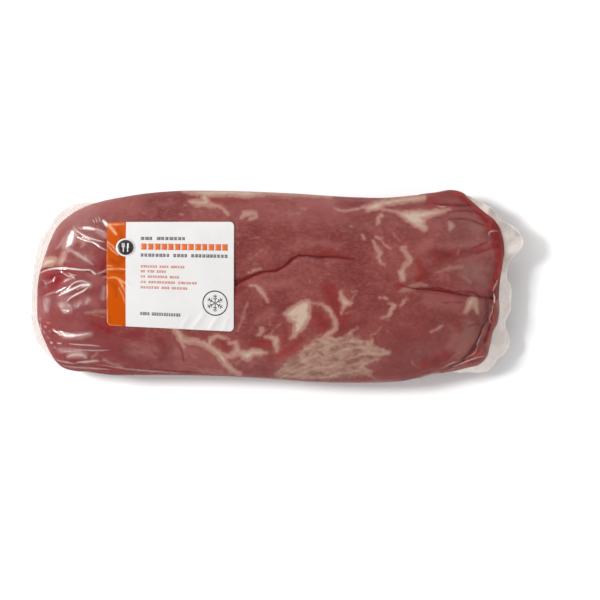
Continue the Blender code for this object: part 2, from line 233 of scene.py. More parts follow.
# Thin streaks and specks of fat
FAINT_FAT = (
    ((351, 225.6, 1.0), (351.8, 226.6, 1.0)), ((185, 205.2, 1.2), (187, 206, 0.8)),
    ((181, 214, 1.1), (183, 214.6, 0.9)), ((249, 259.6, 0.6), (256.9, 254.2, 0.9), (262, 249.6, 0.6)),
    ((253, 238, 0.7), (259, 237.4, 0.7)), ((289, 215.2, 0.5), (299, 212.6, 0.8), (306, 209, 0.7)),
    ((279, 215.6, 0.4), (290, 211.4, 0.6)), ((284, 197.4, 0.9), (289, 197.2, 0.9)),
    ((300, 208.4, 0.8), (306, 208.8, 0.9)), ((333, 208, 1.2), (338, 208.6, 0.9)),
    ((459.6, 248.6, 0.9), (456.8, 255, 0.8)), ((457, 241, 0.5), (461, 246, 0.6)),
    ((436, 271.8, 0.8), (441.5, 271.2, 1.6), (449.4, 268.2, 2.6), (462, 266.4, 1.9)),
    ((462, 276, 0.6), (470, 282.5, 0.9)),
    ((399, 291.6, 1.2), (404, 290.2, 2.6), (411, 287.4, 3.4), (419, 284.4, 3.0), (426.5, 285, 1.2)),
    ((352, 292, 1.6), (357, 291, 1.2)), ((351, 300, 0.8), (356, 294, 1.0)),
    ((346, 313, 0.9), (350, 312, 0.8)),
    ((380.8, 327, 0.8), (377.4, 332, 0.9), (371.6, 335, 1.1), (369.4, 342, 0.9)),
    ((387.6, 330.6, 0.9), (388, 332, 0.8)), ((357.6, 327, 0.8), (351.4, 330.6, 1.1), (348.6, 335, 1.1)),
    ((389.2, 319.6, 0.6), (386.4, 320.8, 0.6)), ((412.4, 361, 0.9), (412.8, 364.4, 1.0)),
    ((309.4, 281, 1.1), (310, 282, 1.0)), ((312, 260.2, 0.7), (312.4, 261.4, 0.7)),
    ((247.4, 303, 1.0), (244.6, 312, 1.5), (241.6, 321, 1.5), (237.6, 331, 1.0)),
    ((281.6, 322, 0.6), (269.6, 334.6, 0.7)), ((269, 317, 0.6), (270.4, 326, 0.7)),
    ((392.8, 232.4, 0.5), (399.6, 241.2, 0.5)), ((477, 237.4, 1.0), (477.4, 238.6, 1.1)),
    ((86, 312.8, 1.0), (96, 311.4, 1.9), (105, 311.8, 1.8)), ((93, 314.6, 0.6), (104, 316.6, 0.8)),
    ((69, 356.6, 1.0), (75, 354.8, 1.8), (82, 355.6, 1.5), (86, 358, 0.8)),
    ((80, 362.4, 0.8), (90, 361.6, 1.4), (98, 360.8, 1.2)), ((92, 357, 1.0), (97, 353.6, 1.2)),
    ((104, 360, 1.6), (112, 364, 1.8), (122, 367, 1.2)),
    ((79, 240.6, 1.6), (85, 241.6, 2.4), (82, 246, 1.6)),
    ((236, 376.5, 0.6), (256, 378.5, 1.0), (280, 379.5, 1.0)),
    ((372, 381.5, 0.8), (390, 381, 0.7), (400, 379.5, 0.5)),
    ((196, 370, 0.4), (215, 373, 0.6), (236, 375.4, 0.7)),
    ((188, 366.5, 0.3), (206, 369, 0.4), (222, 371.4, 0.4)), ((240.6, 360, 0.8), (236, 364.4, 1.0)),
    ((192, 356, 0.9), (196, 357, 0.8)), ((236.6, 241.6, 0.9), (238, 244, 0.9)),
)
# Membrane, pale at the front; greyer patches, most at the right end, partly membrane and partly painted grey
# reflection of the film
SILVERSKIN = (
    ((278, 374, 4.0), (290, 369, 8.0), (304, 361, 11.0), (320, 353, 14.0), (336, 351, 14.0),
     (352, 348, 12.5), (366, 350, 8.0), (377, 352.4, 5.0), (388, 352.6, 2.6)),
    ((280, 377, 3.0), (300, 374, 6.5), (330, 371, 9.0), (356, 368, 9.0), (369, 373, 3.4)),
    ((350, 334, 2.4), (346, 340, 4.0)), ((318, 341, 4.4), (332, 339, 3.4)),
    ((371, 342, 2.0), (366, 345, 4.0)), ((381.4, 358, 0.8), (372, 361, 2.4), (362, 362, 5.0)),
)
GREY_SKIN_AND_REFLECTION = (
    ((458, 268, 3.0), (466, 267, 5.0), (476, 268, 7.0), (486, 268, 4.5)),
    ((460, 274, 2.5), (472, 277, 6.0), (484, 281, 5.0)),
    ((474, 228, 4.5), (480, 231, 5.0), (485, 228, 2.5)),
    ((482, 240, 2.6), (476, 243, 2.0), (466, 246, 2.5)),
    ((466, 321, 3.0), (472, 327, 6.0), (468, 338, 8.5), (462, 348, 7.0), (459, 356, 3.0)),
    ((480, 303, 2.5), (483, 312, 3.0), (480, 322, 2.6)),
    ((450, 327, 2.5), (456, 336, 5.0), (450, 345, 4.0)),
    ((134, 345, 2.0), (122, 352, 2.0), (150, 354, 2.0)),
)
# Red places, the brightest of them, paler ones, and dark lines. The paler ones along the back of the left end
# are partly painted reflection of the film, and the paler and dark lines across the right end partly painted
# highlight and shade of its wrinkles
RED = (
    ((329, 289, 8.0), (333, 300, 7.0), (337, 312, 3.6), (338, 320, 2.2)),
    ((312, 316, 2.0), (319, 317, 6.0), (324, 325, 6.0)), ((236, 292, 4.5), (241, 286, 4.0)),
    ((326, 253, 3.0), (334, 254, 2.6), (348, 257, 1.6)), ((404, 281, 1.5), (398, 287, 2.0)),
    ((418, 262, 2.0), (424, 274, 5.5), (418, 280, 3.0)),
    ((438, 258, 3.0), (452, 255, 4.0), (466, 250, 2.4), (482, 249, 2.4)),
    ((430, 197, 3.0), (448, 193.5, 4.0), (462, 194, 5.0), (466, 199, 5.0)),
    ((428, 204, 1.2), (448, 206, 1.6), (476, 207, 1.5)),
    ((112, 329, 6.0), (98, 326, 7.0), (86, 320, 5.0), (72, 320, 4.0)),
    ((60, 357, 3.0), (72, 360, 3.0), (82, 358.6, 1.6)),
    ((64, 366, 2.5), (90, 369, 3.0), (120, 371, 2.4), (160, 372, 1.6), (196, 374, 1.2)),
    ((222, 341, 3.0), (226.5, 347, 4.2), (222, 351, 1.6)),
    ((270, 343, 2.0), (262, 342, 3.0), (252, 345, 2.4)), ((284, 330, 3.0), (286, 342, 2.4)),
    ((300, 341, 2.4), (286, 352, 3.0), (270, 360, 2.4)),
    ((444, 356, 4.0), (436, 362, 4.0), (424, 364, 3.0)), ((48, 322, 5.0), (52, 332, 4.0), (50, 342, 3.0)),
    ((56, 314, 4.0), (66, 318, 4.0)), ((104, 262, 3.6), (100, 268, 3.0)), ((64, 228, 1.6), (61, 238, 1.6)),
    ((59, 253.6, 1.8), (59.6, 256, 1.2)), ((76.6, 244.6, 1.2), (77.2, 246, 1.0)),
    ((186, 196.6, 0.6), (196, 199, 0.8)), ((210, 199.6, 1.4), (230, 200.4, 1.4), (246, 201, 0.8)),
    ((346, 318, 1.6), (342, 326, 1.4)),
)
CRIMSON = (
    ((470, 203.5, 2.6), (482, 213.5, 4.6), (489, 219.5, 6.2), (494, 229, 6.2), (496.5, 238, 5.2),
     (498, 246, 5.6), (499, 256, 4.0), (499, 267, 4.0), (496, 279, 3.6), (491, 290, 2.4)),
    ((46, 275, 2.6), (53, 277, 4.6), (58, 283, 4.4), (54, 290, 3.4), (45, 294, 2.6)),
    ((60, 273, 2.6), (68, 274.6, 2.0), (77, 276, 1.6)), ((66, 283, 2.0), (60, 288, 2.0)),
    ((106, 264, 1.6), (102, 269, 1.4)),
    ((456, 193, 2.0), (464, 196, 3.4), (469, 200, 3.8), (473, 204, 3.0)),
    ((488, 247, 1.2), (496, 245, 2.4)), ((109, 330, 1.6), (98, 326, 1.2)),
    ((466, 363, 0.6), (472, 362.4, 1.4)),
)
PALE = (
    ((438, 207.8, 0.6), (452, 207.2, 1.4), (466, 207.4, 1.4), (480, 211, 0.6)),
    ((440, 198.4, 0.8), (452, 197.2, 1.8), (464, 198.8, 1.2)),
    ((452, 215.4, 0.4), (470, 215, 1.2), (484, 219, 0.6)),
    ((447, 261.4, 0.6), (463, 257.4, 1.4), (480, 255, 1.2), (496, 250.6, 0.6)),
    ((466, 248.4, 0.4), (478, 246.6, 0.9), (490, 243, 0.4)),
    ((440, 246, 1.0), (454, 244.6, 1.2), (468, 243.4, 0.8)),
    ((42, 262, 2.0), (46, 247, 2.6), (53, 231, 3.2), (61, 219, 3.2), (76, 209, 3.4), (95, 204, 3.6),
     (118, 200, 3.0)), ((88, 208, 2.0), (104, 208, 3.0), (122, 205, 3.0), (144, 202, 2.0)),
    ((332, 203, 4.0), (300, 204, 3.0)), ((430, 300, 7.0), (456, 306, 6.0)),
    ((300, 240, 3.0), (338, 246, 3.0)), ((270, 285, 4.0), (290, 283, 4.0)),
    ((92, 259, 3.0), (78, 254, 3.0), (70, 250, 2.4)), ((270, 312, 4.0), (256, 322, 3.0)),
    ((430, 242, 5.0), (418, 250, 3.0)), ((180, 352, 3.0), (196, 350, 3.0)),
    ((138, 346, 2.4), (148, 350, 3.6), (154, 356, 2.4)), ((90, 274, 4.0), (98, 280, 5.0)),
    ((84, 298, 3.0), (94, 303, 4.0)), ((40, 300, 2.0), (42, 312, 2.4), (45, 318, 2.0)),
    ((446, 197.4, 0.9), (463, 198.4, 0.8)),
)
DARK_LINES = (
    ((234, 282.2, 1.8), (246, 277.6, 1.3), (257, 273, 0.8), (264, 271.4, 0.6), (276, 269.8, 0.8),
     (284, 266.8, 1.0), (289, 262.6, 1.7), (294, 258, 1.5), (298, 255.6, 1.1), (308, 256.2, 0.6),
     (316, 257.4, 1.0), (330, 257, 1.2), (340, 258.2, 0.8), (354, 259.2, 0.6)),
    ((489.6, 291, 0.8), (490.4, 301, 1.5), (490, 310, 1.4), (488, 320, 1.1), (481.5, 329.5, 1.2),
     (478.6, 337, 0.9), (473, 348, 1.1), (466, 356, 0.7), (458, 362, 0.5)),
    ((440, 288.2, 1.0), (447, 290.8, 1.0), (455, 291.8, 0.5), (466, 291.4, 0.8), (474, 293.2, 1.2),
     (479, 296.8, 1.4), (486.4, 297.8, 1.5)), ((428, 288.5, 0.5), (434, 288, 0.8), (440, 288.4, 0.9)),
    ((430, 203.5, 0.4), (446, 204.6, 0.9), (462, 205.6, 1.0), (474, 205.4, 0.7)),
    ((446, 212.4, 0.3), (457, 210.8, 0.6), (468, 210.6, 0.6), (479, 213.4, 0.6)),
    ((448, 220, 0.3), (460, 218.6, 0.7), (472, 220.4, 0.6), (484, 225.4, 0.7)),
    ((470, 249, 0.3), (480, 245.4, 0.9), (488, 241.4, 0.5)),
    ((446, 262, 0.4), (462, 257, 0.5), (480, 252, 0.6), (494, 247.6, 0.5)),
    ((480, 217.6, 0.5), (488, 222, 0.8)), ((486, 299.6, 0.2), (487.4, 309, 0.6), (485.4, 318, 0.4)),
    ((480, 325, 0.4), (476, 323.4, 0.6), (468, 327, 0.3)),
    ((90, 322, 0.3), (100, 327, 0.5), (108, 333, 0.3)), ((118, 346, 0.2), (124, 353, 0.6), (120, 358, 0.3)),
    ((152, 350, 0.2), (158, 356, 0.5)), ((178, 343, 0.3), (182, 352, 0.7), (184, 361, 0.4)),
    ((84, 366, 0.4), (98, 369, 0.6), (110, 370, 0.3)), ((444, 303, 0.2), (462, 302, 0.3)),
    ((446, 360, 0.4), (454, 352, 0.4)), ((150, 369, 0.3), (176, 371.4, 0.6), (200, 372.6, 0.4)),
)

# Broad darker places, partly painted shade
SHADE = (
    ((108, 350, 5), (120, 355, 7), (132, 360, 3)), ((136, 364, 2), (150, 363, 3)),
    ((160, 340, 4), (166, 350, 5), (160, 358, 4)), ((122, 336, 4), (140, 334, 5)),
    ((424, 361, 4), (436, 361, 6), (448, 354, 5)), ((104, 256, 3), (102, 268, 4)),
    ((446, 293, 1.5), (470, 296, 2)), ((436, 252, 3), (456, 255, 4), (478, 250, 2)),
    ((326, 334, 2), (352, 326, 4), (366, 322, 3)),
)

# Strands and dark holes of the membrane at the front, and light hairs elsewhere
STRANDS = (
    ((312, 341, 0.8), (326, 337, 1.0), (338, 340, 0.8), (346, 335, 0.7), (358.7, 327.8, 0.3)),
    ((318, 350, 0.6), (334, 345, 1.1), (350, 341, 1.0), (364, 342, 0.5)),
    ((330, 356, 0.5), (346, 349, 1.0), (362, 347, 1.1), (376, 349, 0.7), (391, 351, 0.4)),
    ((352, 358, 0.6), (366, 353, 1.0), (380, 355, 0.9), (389, 353.4, 0.4)),
    ((292, 368, 0.6), (306, 359, 1.0), (318, 355, 0.8), (330, 348, 0.6)),
    ((296, 376, 0.6), (312, 369, 0.9), (330, 367, 1.0), (344, 362, 0.7), (352, 356, 0.4)),
    ((320, 379, 0.6), (338, 374, 1.0), (354, 372, 0.9), (366, 364, 0.6), (378, 358, 0.3)),
    ((340, 368, 0.5), (356, 364, 0.8), (368, 362, 0.4)),
    ((281, 378, 0.8), (296, 370, 0.9), (308, 366, 0.5)),
    ((305, 349, 0.4), (314, 344, 0.8), (320, 345, 0.5)),
    ((344, 343, 0.5), (352, 341, 1.6), (358, 343, 0.5)),
    ((365, 341, 0.4), (372, 344.4, 0.7), (381, 349, 0.4)), ((322, 341, 1.3), (328, 343, 0.9)),
    ((383, 353, 1.2), (388, 352.6, 0.8)), ((372.8, 338, 0.4), (370, 345, 0.5), (368, 352, 0.4)),
    ((318, 382, 0.7), (348, 383, 0.9), (374, 382.4, 0.7)),
    ((364, 374, 0.4), (371, 376, 0.5), (378, 381, 0.4)),
)
HOLES = (
    ((319, 352, 1.0), (323, 355, 1.6)), ((345, 361, 1.0), (350, 362.4, 1.4)),
    ((352, 367.6, 1.0), (358, 368.6, 1.2)), ((367, 356.4, 0.8), (371.4, 357, 1.4)),
    ((306, 354, 1.4), (312, 350, 1.0)), ((300, 364, 1.2), (306, 365, 0.8)),
    ((330, 361.4, 0.7), (337, 359, 1.2)), ((338, 369.6, 0.7), (344, 368, 1.0)),
    ((357, 350, 0.6), (362, 351.4, 1.0)), ((376, 360.6, 0.8), (372, 364, 1.4), (369, 368, 1.2)),
    ((286, 373, 0.8), (292, 374.4, 1.2)), ((334, 350.6, 0.6), (340, 349, 0.9)),
    ((312, 374, 0.8), (322, 373, 1.0)),
)

# Folds in the film: half width in pixels, height in millimetres, whiteness, places in the photograph; the
# whiteness is milky crease and, along the crest, a painted glint
FOLDS = (
    # Left end, behind the crease
    (0.8, 0.28, 0.50, ((73, 225.6), (75, 229), (79, 232.4), (86, 236.4), (96, 240), (105, 242.2))),
    (0.8, 0.26, 0.50, ((72.6, 230), (77.4, 236.4), (86, 240.4), (95, 243.2), (101, 247.6), (108.6, 251.6))),
    (0.7, 0.15, 0.35, ((80, 236), (87, 238.6), (93, 240))),
    (1.0, 0.20, 0.30, ((77, 228), (83, 228.4), (98, 229.6), (106, 233))),
    (1.5, 0.12, 0.22, ((65, 247.6), (73, 251.6), (81, 256.4), (88, 261), (94, 265.4))),
    (0.5, 0.12, 0.40, ((95.4, 217.6), (96.6, 220.4), (97.4, 223))),
    (0.5, 0.12, 0.34, ((98.4, 216.4), (99.6, 219.6), (100.4, 222.6))),
    (0.5, 0.10, 0.30, ((92.6, 219), (94, 221.6), (95, 223.4))),
    (0.8, 0.10, 0.16, ((54, 250), (59, 246), (62, 241), (64, 236))),
    # The crease's own fold and the curls in its hollow
    (0.9, 0.32, 0.66, ((39.4, 273.4), (46, 270.4), (54, 268.6), (64, 268.2), (75, 269.2), (84, 270),
     (90, 270.2), (94.6, 273.4))), (0.9, 0.15, 0.26, ((94, 274.4), (101, 272.6), (108, 269))),
    (0.8, 0.12, 0.20, ((103, 277.4), (109, 276.4))),
    (0.6, 0.15, 0.36, ((60, 270.4), (64, 273.6), (68, 276), (74, 277.6), (75.6, 280.4))),
    (0.6, 0.15, 0.30, ((67, 272.6), (72, 274.8), (77, 275.4))),
    (0.6, 0.15, 0.34, ((63.6, 281.6), (68, 279.4), (73.4, 277.6))),
    (0.8, 0.12, 0.13, ((42, 279.6), (45.6, 282.6), (46.4, 286), (44, 289.4))),
    (0.9, 0.15, 0.18, ((47, 283), (52, 281), (55.4, 277.4))),
    (0.8, 0.12, 0.18, ((42, 297), (50, 293.6), (58, 291.2), (66, 287))),
    # The loop and the patch below it
    (1.0, 0.32, 0.80, ((58.6, 295.6), (66, 292), (74, 288.4), (82, 285), (88.6, 284))),
    (0.9, 0.26, 0.62, ((89.6, 285.4), (84, 290.4), (76, 294.6), (69.6, 298.6), (66.4, 302.4))),
    (0.8, 0.20, 0.42, ((64, 291.4), (69, 288), (72, 284.4), (77, 281.6), (85, 281.6), (89.4, 284))),
    (0.6, 0.16, 0.30, ((78, 289.6), (83, 286.6), (86.4, 285.6))),
    (0.9, 0.15, 0.20, ((60, 307.6), (63, 311.4), (67, 312.4), (69.6, 309.6))),
    (0.8, 0.12, 0.22, ((77, 307.4), (80, 303.6))), (0.7, 0.12, 0.20, ((86.4, 304), (88, 300.4))),
    # Front of the left end
    (0.9, 0.28, 0.60, ((53.4, 329.6), (57, 332.4), (62, 334.6), (68, 336.4), (74, 336), (80, 335),
     (90, 333))), (0.6, 0.18, 0.40, ((58, 330.8), (64, 332.8), (71, 333.6))),
    (0.7, 0.16, 0.30, ((68, 343.6), (80, 344.8), (90, 345.2), (101, 346.4))),
    (0.6, 0.12, 0.20, ((60, 352), (70, 351.6), (84, 352.6))),
    (0.7, 0.15, 0.20, ((74, 349.6), (92, 350.4), (110, 350))),
    (0.9, 0.20, 0.30, ((66, 357.6), (74, 354.4), (82, 355), (88, 358.6))),
    (0.9, 0.20, 0.30, ((76, 362.6), (88, 361.6), (99, 360.4))),
    (0.7, 0.15, 0.22, ((56, 359.6), (64, 361.8), (76, 364))),
    (0.7, 0.15, 0.20, ((62, 365.6), (74, 367.2), (88, 368), (112, 369.6))),
    (0.6, 0.12, 0.16, ((96, 364), (120, 368), (150, 371), (180, 373))),
    (0.5, 0.10, 0.18, ((42.6, 298.6), (44, 304), (45.4, 309.4), (47, 300.4))),
    # Right end: strands drawn together, the rim of the pocket and the front corner
    (0.6, 0.18, 0.28, ((488.6, 236.4), (489.4, 232.4), (493, 231), (498.6, 231.4))),
    (0.5, 0.15, 0.24, ((437, 205.4), (441, 206.8), (447, 206.4))),
    (0.7, 0.20, 0.32, ((498, 279.6), (495.6, 284.6), (493.4, 289.6), (492.4, 291.6))),
    (0.7, 0.26, 0.56, ((493.4, 293.4), (494.4, 297), (494.2, 303.4))),
    (0.5, 0.12, 0.30, ((493, 304), (492, 312), (489.6, 319.4), (491.6, 324))),
    (0.5, 0.15, 0.36, ((481, 335.6), (478.6, 340.4), (476.4, 346))),
    (0.6, 0.15, 0.26, ((487.4, 355.6), (479, 357.2), (470, 360), (461, 363.6), (452, 367.4))),
    (0.6, 0.08, 0.18, ((461.6, 360.6), (455, 362), (449, 364.6), (443, 367.6))),
    (0.5, 0.12, 0.22, ((477.4, 347.6), (474.4, 353), (467, 357))),
    (0.5, 0.12, 0.20, ((440, 371), (430, 374.4), (420, 376.4))),
)

# Painted glints and painted shade in the folds on the label's band
BAND_GLINTS = (
    ((107.6, 222.6, 0.6), (109, 225, 1.4), (112, 229, 1.6), (116, 234, 0.9)),
    ((110, 224.6, 0.7), (118, 224.2, 0.4)), ((112, 224.8, 0.4), (124, 224, 0.3)),
    ((106.4, 241.4, 0.4), (112, 245.4, 0.5), (118, 252.6, 0.6), (123, 254.4, 0.5), (127, 257, 0.3)),
    ((107, 243.8, 0.2), (112, 250.4, 0.4), (118, 255, 0.3)),
    ((107.6, 269.2, 0.5), (116, 268.8, 0.6), (127, 269.2, 0.5)), ((106.6, 265.6, 0.3), (112, 266, 0.2)),
    ((108, 278, 0.3), (114, 277.2, 0.5), (119, 279, 0.6), (122.6, 281.8, 0.9), (126.4, 283.8, 0.4)),
    ((118, 278.6, 0.5), (121.4, 284, 0.9), (124.6, 290, 0.5), (126.4, 296, 0.2)),
    ((106.8, 285, 0.2), (107.4, 292, 0.4), (106.6, 298, 0.2)),
    ((119, 288, 0.1), (123, 296, 0.4), (125, 303, 0.1)), ((107, 310, 0.2), (107.2, 322, 0.3)),
    ((108.6, 324, 0.2), (112, 326, 0.4), (121, 326.4, 0.2)),
)
BAND_SHADES = (
    ((110, 245, 1.0), (116, 252, 2.6), (122, 258, 3.0), (118, 264, 3.0), (112, 260, 2.0)),
    ((112, 272, 0.8), (122, 272.6, 1.4)), ((118, 228, 0.8), (122, 238, 1.0)),
    ((110, 282, 1.0), (115, 286, 2.0), (116, 296, 1.4)), ((109, 316, 0.6), (109.6, 324, 0.8)),
)

# Folds in the label: half width in pixels, height in millimetres, places in the photograph
LABEL_FOLDS = (
    (1.7, 0.26, ((104, 243), (114, 248), (121, 254))),
    (1.6, 0.28, ((103, 263), (114, 266.5), (128, 266.5))),
    (1.7, 0.28, ((106, 276), (118, 276), (124, 279), (131, 287))),
    (1.5, 0.22, ((106, 222), (110, 228), (116, 231))), (2.6, 0.42, ((205, 312), (200, 320), (192, 329))),
    (2.6, 0.42, ((219, 316), (213, 324), (208, 333))), (2.4, 0.30, ((190, 316), (184, 324), (181, 330))),
    (2.2, 0.25, ((228, 318), (225, 326), (222, 333))),
)

# Painted glints in the film: small bright dabs painted where it would mirror the lamp, and wide soft patches,
# partly milky film and partly painted reflection
PAINTED_GLINTS = (
    ((72.4, 232.4, 1.6), (71, 237, 2.8), (69, 243, 2.6), (66.6, 246.4, 1.2)),
    ((84, 227.8, 0.9), (89, 228.2, 1.2), (94, 229.2, 0.7)),
    ((103.4, 221, 1.0), (106, 224, 1.6), (108.6, 226.6, 1.2)), ((83, 285.6, 0.9), (88.4, 284.6, 1.3)),
    ((62, 309.4, -0.2), (65.4, 310.6, 0.5), (68.4, 309.6, -0.2)), ((67, 303.4, -0.4), (69.4, 306, 0.1)),
    ((62.6, 304, -0.5), (64, 306, -0.4)), ((66, 335.2, 0.7), (72, 335.4, 1.3), (77, 335.4, 0.6)),
    ((45, 326.4, 0.1), (45.8, 327, 0.0)), ((51, 342.6, 0.3), (52, 343, 0.1)),
    ((92.4, 271.6, 0.5), (94.6, 273.4, 0.8)), ((57.6, 343, -0.1), (61, 343.6, 0.0)),
    ((40, 324, -0.1), (41.2, 330, 0.0)), ((53.4, 329.6, 0.4), (54.6, 330.4, 0.3)),
    ((39.8, 318, -0.3), (40.2, 320.6, -0.3)), ((43.4, 331.4, -0.4), (44.2, 333, -0.3)),
    ((47.4, 337, -0.4), (49, 338.4, -0.3)), ((54, 347, -0.3), (55.6, 348.2, -0.4)),
    ((49.4, 330.8, -0.5), (50.4, 331.6, -0.4)), ((46.6, 322.6, -0.5), (49.4, 323, -0.4)),
)
MILK_AND_REFLECTION_PATCHES = (
    ((66, 246, 4.0), (70, 240, 5.5), (74, 233, 4.0)), ((63, 305, 3.4), (66.4, 308, 4.8), (68, 309, 3.6)),
    ((64, 307, 1.0), (68, 309, 1.6)), ((76, 305, 2.5), (80, 303, 2.0)), ((104, 288, 1.0), (103, 298, 1.6)),
    ((86, 302, 2.0), (88, 300, 2.0)), ((47, 300, 2.4), (46, 310, 2.0)), ((98, 231, 2.0), (105, 235, 2.4)),
    ((64, 336, 2.0), (80, 336, 2.4), (90, 334, 1.6)), ((70, 355, 2.4), (84, 355, 2.4)),
    ((84, 284, 3.0), (89, 285, 2.6)), ((60, 350, 1.6), (80, 351, 1.6)),
)

# Where the film lies too creased to mirror the light as one
MATT = (
    ((92, 222, 5), (80, 232, 9), (70, 246, 11), (63, 262, 11), (61, 282, 12), (62, 304, 14),
     (62, 324, 14), (66, 342, 12), (74, 356, 8)),
)
# Where the film dips: the pocket beyond the front loin's end, and the hollow of the crease
POCKET = ((492, 292, 3.0), (491, 305, 4.5), (489, 322, 4.5), (482, 342, 5.0), (470, 357, 4.0),
          (452, 366, 2.5))
HOLLOW = ((42, 286, 4.0), (50, 281, 6.5), (60, 276, 4.5), (66, 273, 2.0))


def smooth(at, stations):
    """A smooth curve through stations: cubic pieces that share their slopes."""
    xs, ys = np.array(stations, dtype=float).T
    slopes = np.gradient(ys, xs)
    i = np.clip(np.searchsorted(xs, at, side="right") - 1, 0, len(xs) - 2)
    span = xs[i + 1] - xs[i]
    t = np.clip((at - xs[i]) / span, 0.0, 1.0)
    rise = (1 - t) ** 2 * ((1 + 2 * t) * ys[i] + t * span * slopes[i])
    return rise + t * t * ((3 - 2 * t) * ys[i + 1] + (t - 1) * span * slopes[i + 1])


def ease(share):
    """0 to 1 with level ends: three squares less two cubes."""
    share = np.clip(share, 0.0, 1.0)
    return share * share * (3.0 - 2.0 * share)


def plan_reach(x, y):
    """Distance of a plan point from the middle line, and of the widest line beyond it."""
    near = np.clip(x, LEFT_TIP, RIGHT_TIP)
    out = np.hypot(x - near, y)
    angle = np.degrees(np.arctan2(np.abs(x - near), y))
    side = np.where(y >= 0, smooth(near, BACK_EDGE), smooth(near, FRONT_EDGE))
    end = np.where(x < LEFT_TIP, smooth(angle, LEFT_END), smooth(angle, RIGHT_END))
    return out, np.where((x < LEFT_TIP) | (x > RIGHT_TIP), end, side)


def plan_share(x, y):
    """How far out a plan point lies: 0 on the middle line, 1 from the widest line outwards."""
    out, reach = plan_reach(x, y)
    return np.clip(out / reach, 0.0, 1.0)


def crease_shown(x):
    """How plainly the crease shows: its depth there over 1.4 mm, and 1.4 at most."""
    return np.clip(smooth(x, CREASE_DEPTH) / 0.0014, 0.0, 1.4)


def dome_height(x, y, drop=0.0):
    """Height of the pack's top: shoulder plus rise times the square root of one less the plan
    share to the dome power. The rise is the crown with its swellings, less the drop."""
    crown = smooth(x, CROWN_LINE)
    for cx, cy, rise, long_half, wide_half in SWELLINGS:
        crown = crown + rise * np.exp(-((x - cx) / long_half) ** 2 - ((y - cy) / wide_half) ** 2)
    return SHOULDER + (crown - SHOULDER - drop) * np.sqrt(1.0 - plan_share(x, y) ** DOME_POWER)


def under_height(share):
    """Height of the underside: flat, then a quarter round up to the shoulder."""
    turn = np.clip((share - FLAT_SHARE) / (1.0 - FLAT_SHARE), 0.0, 1.0)
    return SHOULDER * (1.0 - np.sqrt(1.0 - turn * turn))


def quarter_drop(off, radius):
    """Drop of a quarter round edge, as a share of its radius, at a distance from the edge."""
    turn = np.clip(1.0 - off / radius, 0.0, 1.0)
    return 1.0 - np.sqrt(1.0 - turn * turn)


def waves(x, y, length, seed, count=9):
    """Gentle unevenness between about -1 and 1: a sum of sine waves of like length, each
    with a direction and a phase drawn from a seeded generator."""
    draw = np.random.default_rng(seed)
    total = 0.0
    turns, phases = draw.uniform(0, math.pi, count), draw.uniform(0, 2 * math.pi, count)
    for turn, phase, stretch in zip(turns, phases, draw.uniform(0.65, 1.5, count)):
        along = x * math.cos(turn) + y * math.sin(turn)
        total = total + np.sin(2 * math.pi * along / (length * stretch) + phase)
    return total / math.sqrt(count)


def crumple(x, y, length, seed):
    """Crumpled sheet between 0 and 1: sharp ridges where two sets of waves pass through zero."""
    first = 1.0 - np.abs(np.tanh(1.2 * waves(x, y, length, seed, 7)))
    second = 1.0 - np.abs(np.tanh(1.2 * waves(x, y, 0.6 * length, seed + 1, 7)))
    return 0.65 * first + 0.35 * second


def photo_place(x, y, z):
    """Where a point of the plan shows in the photograph, in its pixels: the camera's view of it."""
    lift = math.radians(CAMERA_LIFT)
    side, ahead, up = x - VIEW_MIDDLE[0], y - VIEW_MIDDLE[1], z - VIEW_MIDDLE[2]
    depth = CAMERA_FAR + ahead * math.cos(lift) - up * math.sin(lift)
    rise = ahead * math.sin(lift) + up * math.cos(lift)
    scale = CAMERA_FAR / (PIXEL * depth)
    return 0.5 * PHOTO_SIDE + side * scale, 0.5 * PHOTO_SIDE - rise * scale


def film_place(px, py, sizes):
    """Plan point of the film that shows at a place in the photograph: the view turned round,
    with the film's height found by a few steps."""
    lift = math.radians(CAMERA_LIFT)
    across = (px - 0.5 * PHOTO_SIDE) * PIXEL / CAMERA_FAR
    over = (0.5 * PHOTO_SIDE - py) * PIXEL / CAMERA_FAR
    first_height, steps = 0.036, 6
    up = np.full(px.shape, first_height) - VIEW_MIDDLE[2]
    for _ in range(steps):
        ahead = ((over * CAMERA_FAR - up * (over * math.sin(lift) + math.cos(lift)))
                 / (math.sin(lift) - over * math.cos(lift)))
        side = across * (CAMERA_FAR + ahead * math.cos(lift) - up * math.sin(lift))
        x, y = side + VIEW_MIDDLE[0], ahead + VIEW_MIDDLE[1]
        up = film_top(x, y, sizes) - VIEW_MIDDLE[2]
    return x, y


def line_run(line):
    """Distance along a line of points from its start, at each point."""
    steps = np.hypot(*np.diff(np.array(line, dtype=float), axis=0).T)
    return np.concatenate([[0.0], np.cumsum(steps)])


def stroke_depth(px, py, strokes):
    """How far inside a set of strokes each place lies, in pixels, less than zero outside.
    Each stroke is a chain of round dabs, and its radius runs evenly from dab to dab."""
    depth = np.full(px.shape, FAR_OUT)
    for chain in strokes:
        for (ax, ay, ar), (bx, by, br) in zip(chain, chain[1:]):
            reach = max(ar, br) - FAR_OUT
            near = ((px > min(ax, bx) - reach) & (px < max(ax, bx) + reach)
                    & (py > min(ay, by) - reach) & (py < max(ay, by) + reach))
            dx, dy = bx - ax, by - ay
            along = np.clip(((px[near] - ax) * dx + (py[near] - ay) * dy) / (dx * dx + dy * dy), 0.0, 1.0)
            off = np.hypot(px[near] - ax - along * dx, py[near] - ay - along * dy)
            depth[near] = np.maximum(depth[near], ar + along * (br - ar) - off)
    return depth


